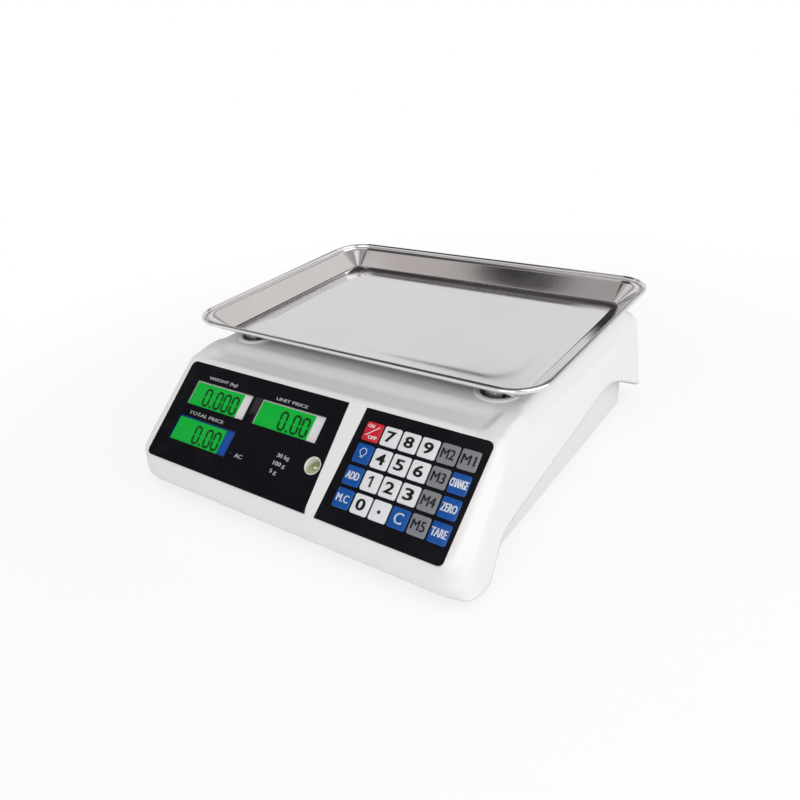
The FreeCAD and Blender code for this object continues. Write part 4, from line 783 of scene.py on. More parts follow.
def pan_profile(settings, level, wall_tall, run):
    """The sheet's middle line from the middle outwards: distance in from the rim's path, height.
    A flat floor with a low pressed field, a fold of one radius, and a leaning wall whose middle
    hangs below the straight line by a parabola."""
    half = settings.sheet / 2
    fold = settings.fold + half
    tangent = fold * math.tan((math.pi / 2 - PAN_LEAN) / 2)
    rise = settings.panel_rise * ease(FIELD_STEPS, *FIELD_EDGE)
    floor = [(inset, level + half + lift) for inset, lift in zip(FIELD_STEPS, rise)]
    floor += [(run + tangent + 3 * MM, level + half)]
    turns = np.linspace(0, math.pi / 2 - PAN_LEAN, 7)
    bend = [(run + tangent - fold * math.sin(turn), level + half + fold * (1 - math.cos(turn)))
            for turn in turns]
    end = np.array([RIM_BEAD * 0.5, level + wall_tall - RIM_BEAD * 0.4])
    start = np.array(bend[-1])
    wall = [start + (end - start) * share - [0, settings.bow * 4 * share * (1 - share)]
            for share in (0.2, 0.4, 0.6, 0.8, 1.0)]
    return np.array(floor + bend + wall)


def offset_line(line, distance):
    """A line of points moved sideways: each along the normal of its neighbours' direction."""
    step = np.gradient(line, axis=0)
    step /= np.linalg.norm(step, axis=1, keepdims=True)
    return line + distance * np.stack([-step[:, 1], step[:, 0]], axis=-1)


def pan_mesh(settings):
    """The pan as one closed sheet: the profile's upper side outwards, once round the rim's bead,
    and its under side back. Each point of the profile goes round a round-cornered box."""
    level = PAN_LOW[2]
    rim_level = PAN_HIGH[2] - RIM_BEAD
    wall_tall = rim_level - level
    run = wall_tall * math.tan(PAN_LEAN)
    middle = (PAN_LOW + PAN_HIGH) / 2
    half = (PAN_HIGH - PAN_LOW) / 2 - RIM_BEAD
    line = pan_profile(settings, level, wall_tall, run)
    upper = offset_line(line, -settings.sheet / 2)
    lower = offset_line(line, settings.sheet / 2)
    turn = np.radians(np.linspace(35, -225, 22))
    bead = np.stack([-RIM_BEAD * np.cos(turn + math.pi), rim_level + RIM_BEAD * np.sin(turn)],
                    axis=-1)
    profile = np.concatenate([upper, bead, lower[::-1]])
    right, back, cosine, sine = loop_frame(corner=22, wide_side=20, tall_side=16)
    inset = profile[:, :1]
    corner = np.where(inset <= run, PAN_FLOOR_CORNER + run - inset,
                      PAN_FLOOR_CORNER + (inset - run) * 0.9)
    across = right * (half[0] - inset - corner) + corner * cosine + middle[0]
    along = back * (half[1] - inset - corner) + corner * sine + middle[1]
    rings = np.stack([across, along, np.broadcast_to(profile[:, 1:], across.shape)], axis=-1)
    return tube(rings[:, ::-1])


class SCALE_OT_pan(Operator):
    """Builds the pressed steel pan and finishes its legs."""

    bl_idname = "scale.pan"
    bl_label = "Pan"

    def execute(self, context):
        settings = context.scene.scale_pan
        steel = polished("pan_steel", settings.colour, settings.roughness, (1, 12, 1))
        piece("pan_sheet", [pan_mesh(settings)], steel, "pan",
              replaces=["weighing_pan"], smooth=70)
        # The legs' base colour carries dark upright streaks from a noise stretched along Z. These
        # are painted reflections that stand in for the streaked reflections of a polished tube.
        chrome = Shader("leg_chrome", shown(226, 226, 228), 0.10, metallic=1.0).detailed(
            ((220, 2, (1, 1, 0.04)), 1.0, shown(60, 60, 62)),
            grain=((700, 3, (1, 1, 0.05)), 0.006 * MM))
        finish_nodes(chrome, "pan_legs")
        return {"FINISHED"}


# ---------------------------------------------------------------- operator's panel

class PanelSettings(PropertyGroup):
    """The dark window, the keypad and the displays."""

    dark: tone_property("Dark sheet", "Colour of the window and the bezel", 17, 16, 22)
    green: tone_property("Display green", "Colour of the lit displays", 0, 160, 48)
    ink: tone_property("Display ink", "Colour of the displays' digits", 0, 66, 20)
    frame_white: tone_property("Display frame", "Colour of the white display frames", 226, 224,
                               226)
    frame_blue: tone_property("Total frame", "Colour of the blue display frame", 0, 72, 164)
    key_white: tone_property("Digit keys", "Colour of the digit keys", 226, 226, 229)
    key_grey: tone_property("Memory keys", "Colour of the memory keys", 128, 130, 136)
    key_blue: tone_property("Function keys", "Colour of the function keys", 0, 78, 158)
    key_red: tone_property("Power key", "Colour of the power key", 204, 28, 42)
    dome: size_property("Key dome", "Crown of a key's top", 0.25)


def round_corners(corners, radii, steps=6):
    """A straight-sided outline with arcs at its corners, each of its own radius; a corner of
    radius nought stays sharp. Points are complex numbers here, so an arc's point is the arc's
    start turned by a share of the turn from its start to its end."""
    corners = np.array(corners) @ [1, 1j]
    outline = []
    for here, before, after, radius in zip(corners, np.roll(corners, 1), np.roll(corners, -1),
                                           radii):
        if radius == 0:
            outline.append(here)
            continue
        before, after = [(side - here) / abs(side - here) for side in (before, after)]
        half = abs(np.angle(after / before)) / 2
        middle = here + (before + after) / abs(before + after) * radius / math.sin(half)
        start, end = [here + side * radius / math.tan(half) - middle for side in (before, after)]
        outline += [middle + start * (end / start) ** share for share in np.linspace(0, 1, steps)]
    return np.stack([np.real(outline), np.imag(outline)], axis=-1)


def rectangle(left, right, low, high):
    return np.array([(left, low), (right, low), (right, high), (left, high)])


def arc(x, y, radius, turn):
    """Points at angles round a middle."""
    return np.stack([x + radius * np.cos(turn), y + radius * np.sin(turn)], axis=-1)


def circle(x, y, radius, sides=40):
    return arc(x, y, radius, full_turn(sides))


DISPLAYS = {"weight_lcd": "0.000", "unit_price_lcd": "0.00", "total_price_lcd": "0.00"}
# A display's green field inside its frame: its distance in from each side of the frame.
FIELD_LEFT = 1.8 * MM
FIELD_RIGHT = 10.4 * MM
FIELD_TOP = 1.5 * MM
FIELD_FOOT = 0.4 * MM
GLASS_UNDER = 1.1 * MM


def green_field(node):
    left, right, foot, top = side_box(node)
    return left + FIELD_LEFT, right - FIELD_RIGHT, foot + FIELD_FOOT, top - FIELD_TOP


# A digit's width and stroke, the pitch of digits and a point's room, as shares of the height.
DIGIT_WIDE, DIGIT_STROKE, DIGIT_PITCH, POINT_ROOM = 0.50, 0.132, 0.565, 0.24
DIGIT_LEAN = -4.0


def nought_shapes(wide, tall, thick):
    """The six lit segments of a nought as outlines, each a bar with pointed ends, in a digit's
    own box with its lower left corner at nought."""
    half = thick / 2
    gap = thick * 0.04
    middle = tall / 2

    def level(y):
        left, right = half + gap, wide - half - gap
        return [(left, y), (left + half, y - half), (right - half, y - half), (right, y),
                (right - half, y + half), (left + half, y + half)]

    def upright(x, low, high):
        low, high = low + gap, high - gap
        return [(x, low), (x + half, low + half), (x + half, high - half), (x, high),
                (x - half, high - half), (x - half, low + half)]

    return [level(tall - half), upright(wide - half, middle, tall - half),
            upright(wide - half, half, middle), level(half), upright(half, half, middle),
            upright(half, middle, tall - half)]


def digits(text, right, foot, tall, place, out):
    """A display's noughts, ending at a place on the right and leaning a little; a point has a
    narrow room of its own between two of them."""
    wide, thick, pitch, room = (tall * share for share in (DIGIT_WIDE, DIGIT_STROKE, DIGIT_PITCH,
                                                           POINT_ROOM))
    lean = math.tan(math.radians(DIGIT_LEAN))
    shapes = nought_shapes(wide, tall, thick)
    parts = []
    left = right - wide
    for letter in reversed(text):
        if letter == ".":
            left -= room
            dot = left + wide + (pitch - wide + room - thick) / 2
            outlines = [rectangle(dot, dot + thick, 0, thick)]
        else:
            outlines = [[(x + left, y) for x, y in shape] for shape in shapes]
            left -= pitch
        for outline in outlines:
            leaning = [(x + y * lean, y + foot) for x, y in outline]
            parts.append(prism(leaning, out, out + 0.05 * MM, place))
    return parts


def window_sheet(holes, place, corners, radii):
    """A panel sheet with a softened edge: its outline less its holes."""
    points, faces = flat_curve([round_corners(corners, radii)] + holes, PANEL_THICK, 0.15 * MM)
    return place(points[:, 0], points[:, 1], points[:, 2] - PANEL_SUNK - PANEL_THICK / 2), faces


def openings(boxes, lap):
    """Outlines of boxes drawn in by a lap all round: a sheet's openings over its displays, or a
    display's field inside its frame."""
    return [rectangle(left + lap, right - lap, low + lap, top - lap)
            for left, right, low, top in boxes]


def level_place():
    """The bubble level's middle in the panel frame, and its radius."""
    left, right, low, top = side_box("bubble_level")
    return (left + right) / 2, (low + top) / 2, (right - left) / 2


# The window's lettering: text, height of its capitals, width, and its middle on the panel, in
# millimetres. Each line is printed twice, a little apart, which gives its strokes their weight.
CAPTIONS = (
    ("WEIGHT (kg)", 2.8, 34.0, -103.0, 77.9), ("UNIT PRICE", 2.8, 33.0, -24.5, 76.9),
    ("TOTAL PRICE", 3.0, 41.0, -102.0, 44.8), ("AC", 3.4, 8.0, -50.5, 23.2),
    ("30 kg", 3.4, 12.5, -9.0, 34.4), ("100 g", 3.4, 12.0, -9.6, 27.9),
    ("5 g", 3.4, 7.0, -12.0, 21.4),
)
CAPTION_SHIFT = 0.09
LEGEND_SHIFT = 0.14 * MM
LEGEND_THICK = 0.3 * MM


class SCALE_OT_window(Operator):
    """Builds the display window with its openings, and the lettering printed on it."""

    bl_idname = "scale.window"
    bl_label = "Display window"

    def execute(self, context):
        settings = context.scene.scale_panel
        dark = acrylic("window_acrylic", settings.dark)
        x, up, radius = level_place()
        holes = openings(map(side_box, DISPLAYS), 0.3 * MM) + [circle(x, up, radius)]
        sheet = window_sheet(holes, on_panel, panel_corners("display_window"),
                             [5 * MM, 0, 0, 5 * MM])
        piece("window_sheet", [sheet], dark, replaces=["display_window"])
        ink = printed("panel_ink", shown(214, 214, 220))
        lines = [laid(words(text, tall * MM, wide * MM), on_panel, (across + shift) * MM,
                      rise * MM, -PANEL_SUNK)
                 for text, tall, wide, across, rise in CAPTIONS
                 for shift in (-CAPTION_SHIFT, CAPTION_SHIFT)]
        piece("window_lettering", lines, ink)
        lamp = printed("charge_lamp", shown(60, 70, 90), 0.2)
        _, right, low, _ = side_box("total_price_lcd")
        spot = prism(circle(right + 4.6 * MM, low + 5 * MM, 0.7 * MM, 16), -PANEL_SUNK,
                     0.15 * MM - PANEL_SUNK, on_panel)
        piece("charge_lamp", [spot], lamp)
        return {"FINISHED"}


class SCALE_OT_displays(Operator):
    """Builds the three lit displays: frame, green field and digits."""

    bl_idname = "scale.displays"
    bl_label = "Displays"

    def execute(self, context):
        settings = context.scene.scale_panel
        green = backlit("display_green", settings.green, shown(24, 140, 58), 0.3)
        ink = printed("display_ink", settings.ink, 0.3)
        finish_nodes(moulded("display_frame_white", settings.frame_white, 0.4), "weight_lcd",
                     "unit_price_lcd")
        finish_nodes(moulded("display_frame_blue", settings.frame_blue), "total_price_lcd")
        for node, text in DISPLAYS.items():
            left, right, low, top = green_field(node)
            base = -PANEL_SUNK - PANEL_THICK
            glass = prism(rectangle(left, right, low, top), base, -GLASS_UNDER, on_panel)
            piece(node + "_field", [glass], green)
            tall = top - low
            parts = digits(text, right - 0.9 * MM, low + tall * 0.05, tall * 0.80, on_panel,
                           -GLASS_UNDER)
            piece(node + "_digits", parts, ink)
        return {"FINISHED"}


KEY_LEGENDS = {
    "mc": "M.C", "point": ".", "c": "C", "m5": "M5", "tare": "TARE", "add": "ADD", "m4": "M4",
    "zero": "ZERO", "lamp": "", "m3": "M3", "change": "CHANGE", "on_off": "", "m2": "M2",
    "m1": "M1", **{str(number): str(number) for number in range(10)},
}
BLUE_KEYS = ("mc", "c", "tare", "add", "zero", "lamp", "change")
KEY_HALF_WIDE = 7.25 * MM
KEY_HALF_TALL = 7.35 * MM
KEY_TOP = 0.8 * MM


def key_middle(name):
    across, up = on_panel.node("key_" + name)
    return (across.min() + across.max()) / 2, (up.min() + up.max()) / 2


def key_cap(name, dome):
    """A key's cap: a round-cornered box whose edge turns in over a small radius and whose top
    swells in a dome, highest in the middle."""
    across, up = key_middle(name)
    edge = 0.7 * MM
    top = KEY_TOP - dome
    turns = np.linspace(0, math.pi / 2, 6)
    steps = [(0.0, -1.2 * MM)]
    steps += [(edge * (1 - math.cos(turn)), top - edge + edge * math.sin(turn)) for turn in turns]
    steps += [(edge + (KEY_HALF_WIDE - edge) * share, top + dome * (1 - (1 - share) ** 2))
              for share in (0.12, 0.3, 0.55, 0.8)]
    right, back, cosine, sine = loop_frame(corner=5, wide_side=4, tall_side=4)
    rings = []
    for inset, out in steps:
        radius = max(1.6 * MM - inset, 0.9 * MM)
        rings.append(on_panel(across + right * (KEY_HALF_WIDE - inset - radius) + radius * cosine,
                              up + back * (KEY_HALF_TALL - inset - radius) + radius * sine, out))
    return tube(np.stack(rings))


def bulb_lines():
    """A lamp's sign: a round bulb, its neck and its cap, as thin rings and bars."""
    wide = 0.38 * MM
    turn = np.radians(np.linspace(-62, 242, 26))
    middle = 1.4 * MM
    bulb = [arc(0, middle, 2.9 * MM, turn), arc(0, middle, 2.9 * MM - wide, turn)[::-1]]
    return [np.concatenate(bulb), *(rectangle(-1.4 * MM, 1.4 * MM, level * MM, level * MM + wide)
                                    for level in (-1.9, -2.9))]


# Signs that are drawn and not written, in millimetres round their key's middle.
FIGURE_ONE = ((-0.3, -4.0), (1.3, -4.0), (1.3, 4.4), (0.1, 4.4), (-2.5, 2.9), (-2.5, 1.4),
              (-0.3, 2.5))
SLASH = ((-4.8, -3.4), (-4.4, -3.8), (5.0, 4.2), (4.6, 4.6))


def key_legend(name, dome):
    """A key's legend, laid on the cap's top: words and digits, or a drawn sign."""
    across, up = key_middle(name)
    out = KEY_TOP - dome * 0.6

    def lettering(text, tall, wide, bold, shift, rise):
        return laid(words(text, tall, wide, bold, LEGEND_THICK), on_panel, across + shift,
                    up + rise, out)

    text = KEY_LEGENDS[name]
    parts, signs = [], []
    if name == "on_off":
        parts = [lettering("ON", 2.8 * MM, 5.2 * MM, 0.01, -2.6 * MM, 4.2 * MM),
                 lettering("OFF", 2.8 * MM, 7.4 * MM, 0.01, 1.9 * MM, -4.2 * MM)]
        signs = [np.array(SLASH) * MM]
    elif name == "1":
        signs = [np.array(FIGURE_ONE) * MM]
    elif name == "lamp":
        signs = bulb_lines()
    elif name == "point":
        signs = [circle(0, -0.6 * MM, 1.3 * MM, 24)]
    else:
        parts = [lettering(text, *legend_style(text), shift, 0.3 * MM)
                 for shift in (-LEGEND_SHIFT, LEGEND_SHIFT)]
    return parts + [prism(sign + [across, up], out, out + LEGEND_THICK, on_panel)
                    for sign in signs]


def legend_style(text):
    """A legend's height, width and weight: digits are large and bold, words small."""
    if text.isdigit():
        return 8.4 * MM, 7.4 * MM, 0.018
    if text == "C":
        return 8.4 * MM, 6.6 * MM, 0.0
    if len(text) == 2:
        return 7.6 * MM, 10.4 * MM, 0.0
    wide = {"M.C": 10.2, "ADD": 10.8, "ZERO": 11.8, "TARE": 11.8, "CHANGE": 13.2}[text]
    return 6.0 * MM, wide * MM, 0.0 if "M" in text else 0.012


class SCALE_OT_keys(Operator):
    """Builds the 24 keys with their legends, and finishes the bezel round them."""

    bl_idname = "scale.keys"
    bl_label = "Keys"

    def execute(self, context):
        settings = context.scene.scale_panel
        finish_nodes(acrylic("bezel_acrylic", settings.dark, 0.2, 0.006 * MM, 600),
                     "keypad_bezel")
        paint = {name: moulded("key_" + name, getattr(settings, "key_" + name), gloss, 0.01 * MM)
                 for name, gloss in (("white", 0.3), ("grey", 0.3), ("blue", 0.28),
                                     ("red", 0.28))}
        black_ink = printed("legend_black", shown(24, 24, 28))
        white_ink = printed("legend_white", shown(232, 236, 242))
        for name in KEY_LEGENDS:
            if name == "on_off":
                colour = "red"
            elif name in BLUE_KEYS:
                colour = "blue"
            else:
                colour = "grey" if name.startswith("m") else "white"
            node = "key_" + name
            piece(node + "_cap", [key_cap(name, settings.dome)], paint[colour], node,
                  replaces=[node])
            ink = white_ink if colour in ("blue", "red") else black_ink
            piece(node + "_legend", key_legend(name, settings.dome), ink, node)
        return {"FINISHED"}


LEVEL_WALL = 0.9 * MM
LEVEL_SUNK = 5.2 * MM


class SCALE_OT_level(Operator):
    """Builds the bubble level: the leaning tube with its rim, and the level vial inside with its
    mark and its bubble."""

    bl_idname = "scale.level"
    bl_label = "Bubble level"

    def execute(self, context):
        x, up, radius = level_place()
        inner = radius - LEVEL_WALL
        rim, bore = radius / MM, inner / MM
        ring = tube(bored(((rim, -9), (rim, -0.5), (rim - 0.2, -0.3), (bore + 0.2, -0.3),
                           (bore, -0.55), (bore, -13)), on_panel, x, up, 48), start=False)
        wall = moulded("level_tube", shown(222, 226, 214), 0.3, 0.01 * MM)
        piece("level_tube", [ring], wall, replaces=["bubble_level"])
        centre = on_panel(x, up, -LEVEL_SUNK)
        liquid = Shader("level_liquid", shown(150, 160, 112), 0.12, Coat_Weight=0.6).detailed(
            ((200, 2), 0.5, shown(186, 192, 156)))
        stretch = 1 / math.cos(SLOPE)
        turn = full_turn(48)
        disc = np.stack([centre[0] + inner * np.cos(turn),
                         centre[1] + inner * stretch * np.sin(turn),
                         np.full_like(turn, centre[2])], axis=-1)
        under = disc - [0, 0, 1.2 * MM]
        piece("level_vial", [tube(np.stack([under, disc]))], liquid)
        black = printed("level_mark", shown(40, 44, 40), 0.3)
        mark = [(reach * MM, centre[2] + rise * MM)
                for reach, rise in ((2.9, 0.06), (2.6, 0.06), (2.6, -0.05), (2.9, -0.05))]
        piece("level_mark", [tube(turned(mark, centre, 40), along=True)], black)
        bubble = Shader("level_bubble", shown(236, 240, 214), 0.05, Coat_Weight=1.0).detailed(
            ((400, 2), 0.3, shown(250, 252, 240)))
        rounds = np.linspace(0, math.pi / 2, 7)
        swell = [(1.9 * MM * math.cos(step), centre[2] + 0.5 * MM * math.sin(step))
                 for step in rounds[:-1]] + [(0.05 * MM, centre[2] + 0.5 * MM)]
        piece("level_bubble", [tube(turned(swell, centre, 32))], bubble)
        return {"FINISHED"}


# ---------------------------------------------------------------- customer's window, inlet

REAR_DISPLAYS = ("0.000", "0.00", "0.00")
REAR_CAPTIONS = ("WEIGHT (kg)", "UNIT PRICE", "TOTAL PRICE")
PIN_PROFILE = ((1.25, -11.0), (1.25, -2.6), (1.0, -2.0), (0.5, -1.8))
PIN_ASIDE = 4.3 * MM


def rear_display_boxes():
    """Each customer's display: its left, right, lower and upper side in the rear frame, from the
    customer's left."""
    across, up = on_rear.node("rear_lcds")
    edges = np.unique(np.round(across, 5))
    thirds = np.array_split(edges, 3)
    return [(group.min(), group.max(), up.min(), up.max()) for group in thirds]


class SCALE_OT_rear(Operator):
    """Builds the customer's window with its displays, and the inlet's pins."""

    bl_idname = "scale.rear"
    bl_label = "Customer's window"

    def execute(self, context):
        settings = context.scene.scale_panel
        dark = acrylic("rear_acrylic", settings.dark)
        boxes = rear_display_boxes()
        sheet = window_sheet(openings(boxes, 0.4 * MM), on_rear, rectangle(*REAR_BOX),
                             [3 * MM] * 4)
        piece("rear_sheet", [sheet], dark, replaces=["rear_window"])
        green = backlit("rear_green", settings.green, shown(0, 140, 48), 0.35)
        ink = printed("rear_ink", settings.ink, 0.3)
        finish_nodes(moulded("rear_frame_white", settings.frame_white, 0.4), "rear_lcds")
        fields, marks, captions = [], [], []
        for (left, right, low, top), text, caption in zip(boxes, REAR_DISPLAYS, REAR_CAPTIONS):
            fields.append(prism(openings([(left, right, low, top)], 1.5 * MM)[0],
                                -PANEL_SUNK - PANEL_THICK, -GLASS_UNDER, on_rear))
            marks += digits(text, right - 5.5 * MM, low + 3.9 * MM, 14 * MM, on_rear,
                            -GLASS_UNDER)
            captions.append(laid(words(caption, 2.8 * MM, 34 * MM), on_rear,
                                 (left + right) / 2, top + 3.3 * MM, -PANEL_SUNK))
        piece("rear_fields", fields, green)
        piece("rear_digits", marks, ink)
        piece("rear_lettering", captions, printed("rear_letter_ink", shown(214, 214, 220)))
        self.inlet()
        return {"FINISHED"}

    def inlet(self):
        """Nickelled pins with round tips inside the inlet's socket."""
        finish_nodes(moulded("inlet_plastic", shown(34, 34, 36), 0.45), "power_inlet")
        left, right, low, top = INLET_BOX
        parts = [tube(bored(PIN_PROFILE, on_rear, -(left + right) / 2 + side * PIN_ASIDE,
                            (low + top) / 2, 20)) for side in (-1, 1)]
        nickel = polished("inlet_nickel", shown(214, 210, 200), 0.16)
        piece("inlet_pins", parts, nickel)


# ---------------------------------------------------------------- feet and inner parts

KNURL_WAVES = 30
KNURL_DEEP = 0.7 * MM


def foot_place(name):
    """A foot part's middle, radius, lowest and highest level."""
    low, high = box_of(name)
    return (low + high) / 2, (high[0] - low[0]) / 2, low[2], high[2]


class SCALE_OT_feet(Operator):
    """Builds the levelling feet: rubber pads and knurled thumb wheels."""

    bl_idname = "scale.feet"
    bl_label = "Feet"

    def execute(self, context):
        black = moulded("wheel_plastic", shown(48, 48, 50), 0.5, 0.04 * MM)
        rubber = rubbery("foot_rubber", shown(40, 40, 42))
        for corner in ("fl", "fr", "rl", "rr"):
            name = "foot_knob_" + corner
            piece(name + "_wheel", [self.wheel(name)], black, name, [name])
            name = "foot_pad_" + corner
            piece(name + "_rubber", [self.pad(name)], rubber, name, [name])
        return {"FINISHED"}

    def wheel(self, name):
        """The thumb wheel under its threaded stud: a turned shape whose rim ripples by a share of
        a squared cosine. Each point of the profile has its radius, height and share."""
        centre, radius, foot, _ = foot_place(name)
        stud = 4 * MM
        top = foot + 3.8 * MM
        profile = [(radius - 0.8 * MM, foot, 0), (radius, foot + 0.6 * MM, 1),
                   (radius, top - 0.6 * MM, 1), (radius - 0.8 * MM, top, 0),
                   (stud + 0.4 * MM, top, 0)]
        for step in range(12):
            level = top + 0.2 * MM + step * 1.25 * MM
            profile += [(stud, level, 0), (stud, level + 0.35 * MM, 0),
                        (stud - 0.5 * MM, level + 0.75 * MM, 0)]
        profile = np.array(profile)
        sides = KNURL_WAVES * 6
        wave = (0.5 + 0.5 * np.cos(KNURL_WAVES * full_turn(sides))) ** 2
        return tube(turned(profile[:, :2], centre, sides, KNURL_DEEP * profile[:, 2:] * wave))

    def pad(self, name):
        """The rubber pad: a low cone with a round edge, a hollow underside and a neck."""
        centre, radius, _, top = foot_place(name)
        deck = 2.6 * MM
        profile = [(radius * 0.55, 0.5 * MM), (radius * 0.62, 0.0), (radius - 0.8 * MM, 0.0),
                   (radius - 0.15 * MM, 0.25 * MM), (radius, 0.9 * MM),
                   (radius - 1.2 * MM, deck - 0.2 * MM), (radius - 1.6 * MM, deck),
                   (2.5 * MM, deck), (2.5 * MM, top - 0.3 * MM), (2.2 * MM, top)]
        return tube(turned(profile, centre))


class SCALE_OT_inner(Operator):
    """Finishes the parts inside the scale, which carry over from the model."""

    bl_idname = "scale.inner"
    bl_label = "Inner parts"

    def execute(self, context):
        board = circuit_board("board_mask", shown(24, 104, 62))
        finish_nodes(board, "keypad_circuit_board", "front_display_board",
                     "rear_display_board", "main_board")
        rubber = rubbery("mat_rubber", shown(52, 52, 54))
        finish_nodes(rubber, "keypad_rubber_mat", "platform_pads")
        finish_nodes(moulded("battery_case", shown(96, 98, 104), 0.4), "battery")
        finish_nodes(laminated("core_sheets", shown(96, 88, 82)), "mains_transformer")
        alloy = polished("cell_alloy", shown(200, 202, 206), 0.34, (1, 9, 9), 0.01 * MM)
        finish_nodes(alloy, "load_cell", "platform_spider")
        zinc = polished("zinc_plate", shown(186, 186, 178), 0.3, depth=0.01 * MM)
        finish_nodes(zinc, "load_cell_bolts", "platform_bolts", "housing_screws")
        brass = polished("turned_brass", shown(206, 172, 96), 0.28, (1, 1, 20), 0.01 * MM)
        finish_nodes(brass, "foot_inserts")
        return {"FINISHED"}


# ---------------------------------------------------------------- stage

class StudioSettings(PropertyGroup):
    """The lamps round the scale."""

    sky: FloatProperty(name="Sky", description="Strength of the even light", default=0.64, min=0)
    key: FloatProperty(name="Key lamp", description="Power of the large lamp on the right",
                       default=12.6, min=0)
    fill: FloatProperty(name="Fill lamp", description="Power of the low lamp in front",
                        default=3.7, min=0)


# The tones of the even light and of the room that bright metal shows: each the height of a
# direction, from 0 level to 1 straight up, and its red, green and blue.
EVEN_LIGHT = ((0.0, 0.55, 0.55, 0.56), (0.12, 0.30, 0.30, 0.31), (0.30, 0.62, 0.62, 0.63),
              (0.50, 0.90, 0.90, 0.91), (0.75, 1.0, 1.0, 1.0))
ROOM_TONES = ((0.0, 0.80, 0.80, 0.80), (0.22, 0.84, 0.84, 0.84), (0.47, 0.86, 0.86, 0.86),
              (0.52, 0.40, 0.40, 0.40), (0.60, 0.40, 0.40, 0.40), (0.655, 0.80, 0.76, 0.74),
              (0.80, 0.78, 0.74, 0.71), (0.815, 0.56, 0.52, 0.50), (0.85, 0.55, 0.51, 0.49),
              (0.885, 0.50, 0.47, 0.45), (0.905, 0.46, 0.43, 0.42), (0.925, 0.42, 0.40, 0.39),
              (0.965, 0.42, 0.40, 0.39), (0.985, 0.32, 0.31, 0.31), (1.0, 0.30, 0.30, 0.30))
# The room's dark places: a direction, how dark, and the angles of its full and its faded edge.
DARK_PLACES = (((-0.618, -0.399, 0.678), 0.12, 14, 21),
               ((-0.40, 0.53, 0.75), 0.07, 16.5, 20.5),
               ((-0.421, -0.076, 0.905), 0.05, 1.9, 2.7))
CAMERA_PLACE = (0.3504, -0.4640, 0.3549)
CAMERA_AIM = (-0.0236, 0.0287, 0.0190)
CAMERA_ROLL = -5.4
CAMERA_LENS = 33.08
LAMP_AIM = (0, 0, 0.05)
FLOOR_REACH = 30.0
# The floor's white: from and to a distance, and its share at each.
PAPER_FADE = (0.25, 0.7, 0.8, 1.0)
WHITE = (1, 1, 1, 1)


def floor_paper():
    """White paper that shows nearly white to the camera and in bright metal, and still takes the
    object's shadow: its own light blended with plain white light, by a share that grows with the
    distance from the middle until only the white is left."""
    made = bpy.data.materials.new("floor_paper")
    nodes = Nodes(made)
    shader = nodes.tree.nodes["Principled BSDF"]
    shader.inputs["Base Color"].default_value = (0.94, 0.94, 0.94, 1)
    shader.inputs["Roughness"].default_value = 0.9
    glow = nodes.add("Emission", {"Color": WHITE, "Strength": 1})
    place = nodes.add("TexCoord").outputs["Object"]
    distance = nodes.add("VectorMath", links={0: place}, operation="LENGTH").outputs["Value"]
    fade = nodes.spread(distance, *PAPER_FADE, interpolation_type="SMOOTHSTEP")
    rays = nodes.any_ray("Is Camera Ray", "Is Glossy Ray", "Is Transmission Ray")
    scale = nodes.add("Math", links={0: rays, 1: fade}, operation="MULTIPLY").outputs[0]
    mixed = nodes.blend(scale, shader.outputs["BSDF"], glow.outputs["Emission"])
    nodes.join(mixed, nodes.tree.nodes["Material Output"].inputs["Surface"])
    return made


def aimed(name, data, place, aim):
    """A lamp's or a camera's object, at a place and facing a point."""
    holder = bpy.data.objects.new(name, data)
    bpy.context.scene.collection.objects.link(holder)
    holder.location = place
    holder.rotation_euler = (Vector(aim) - Vector(place)).to_track_quat("-Z", "Y").to_euler()
    return holder


def soft_box(name, place, wide, tall, power):
    """A large rectangular lamp that faces the object."""
    lamp = bpy.data.lights.new(name, "AREA")
    lamp.shape = "RECTANGLE"
    lamp.size = wide
    lamp.size_y = tall
    lamp.energy = power
    aimed(name, lamp, place, LAMP_AIM)


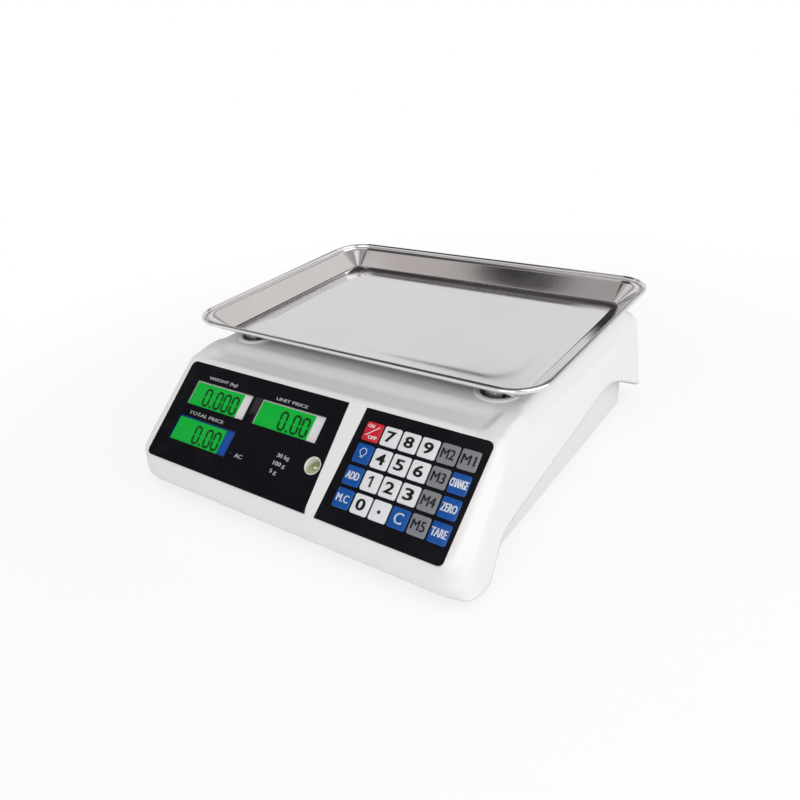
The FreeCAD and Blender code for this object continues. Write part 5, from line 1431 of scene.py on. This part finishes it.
class SCALE_OT_stage(Operator):
    """Sets the floor, the sky, the lamps and the camera."""

    bl_idname = "scale.stage"
    bl_label = "Stage"

    def execute(self, context):
        settings = context.scene.scale_studio
        corners = np.pad(rectangle(-1, 1, -1, 1), ((0, 0), (0, 1))) * FLOOR_REACH
        mesh = mesh_of([(corners, [[0, 1, 2, 3]])])
        floor = bpy.data.objects.new("floor", mesh)
        context.scene.collection.objects.link(floor)
        mesh.materials.append(floor_paper())
        self.sky(context.scene, settings.sky)
        soft_box("key_lamp", (1.3, -0.2, 0.9), 1.7, 1.7, settings.key)
        soft_box("fill_lamp", (0.2, -1.4, 0.45), 1.0, 0.5, settings.fill)
        lens = bpy.data.cameras.new("camera")
        lens.lens = CAMERA_LENS
        lens.sensor_width = 36.0
        lens.clip_start = 0.01
        context.scene.camera = aimed("camera", lens, CAMERA_PLACE, CAMERA_AIM)
        context.scene.camera.rotation_euler.rotate_axis("Z", math.radians(CAMERA_ROLL))
        context.scene.view_settings.view_transform = "Standard"
        return {"FINISHED"}

    def sky(self, scene, strength):
        """White to the camera. Elsewhere an even light that is brighter above than at the sides,
        and in bright metal a room: pale walls, a grey ceiling and a few dark places."""
        scene.world = bpy.data.worlds.new("studio")
        nodes = Nodes(scene.world)
        looking = nodes.add("TexCoord").outputs["Generated"]
        height = nodes.add("SeparateXYZ", links={0: looking}).outputs["Z"]
        even = nodes.tree.nodes["Background"]
        even.inputs["Strength"].default_value = strength
        nodes.join(nodes.ramp(height, EVEN_LIGHT), even.inputs["Color"])
        tone = nodes.ramp(height, ROOM_TONES)
        for dark_place in DARK_PLACES:
            tone = self.darkened(nodes, looking, tone, *dark_place)
        room = nodes.add("Background", {"Strength": 1}, {"Color": tone})
        white = nodes.add("Background", {"Color": WHITE, "Strength": 1})
        lit = nodes.blend(nodes.any_ray("Is Glossy Ray"), even.outputs[0], room.outputs[0])
        seen = nodes.blend(nodes.any_ray("Is Camera Ray", "Is Transmission Ray"), lit,
                           white.outputs[0])
        nodes.join(seen, nodes.tree.nodes["World Output"].inputs["Surface"])

    def darkened(self, nodes, looking, tone, direction, depth, full, faded):
        """The tone scaled down round a direction, with a smooth edge between two angles."""
        toward = nodes.add("VectorMath", {1: direction}, {0: looking}, operation="DOT_PRODUCT")
        share = nodes.spread(toward.outputs["Value"], *np.cos(np.radians([faded, full])), 1.0,
                             depth, interpolation_type="SMOOTHSTEP")
        return nodes.add("VectorMath", links={0: tone, "Scale": share},
                         operation="SCALE").outputs["Vector"]


class SCALE_PT_panel(Panel):
    """Lists the scale's pieces in the sidebar."""

    bl_label = "Price scale"
    bl_idname = "SCALE_PT_panel"
    bl_space_type = "VIEW_3D"
    bl_region_type = "UI"
    bl_category = "Scale"

    def draw(self, context):
        for kind in OPERATORS:
            self.layout.operator(kind.bl_idname)


OPERATORS = (SCALE_OT_stage, SCALE_OT_housing, SCALE_OT_pan, SCALE_OT_window,
             SCALE_OT_displays, SCALE_OT_keys, SCALE_OT_level, SCALE_OT_rear, SCALE_OT_feet,
             SCALE_OT_inner)
SETTINGS = {"scale_shell": ShellSettings, "scale_pan": PanSettings,
            "scale_panel": PanelSettings, "scale_studio": StudioSettings}


def register():
    for kind in (*SETTINGS.values(), *OPERATORS, SCALE_PT_panel):
        bpy.utils.register_class(kind)
    for name, kind in SETTINGS.items():
        setattr(bpy.types.Scene, name, PointerProperty(type=kind))


def unregister():
    for name in SETTINGS:
        delattr(bpy.types.Scene, name)
    for kind in reversed((*SETTINGS.values(), *OPERATORS, SCALE_PT_panel)):
        bpy.utils.unregister_class(kind)


def main():
    register()
    for kind in OPERATORS:
        area, call = kind.bl_idname.split(".")
        getattr(getattr(bpy.ops, area), call)()


if __name__ == "__main__":
    main()
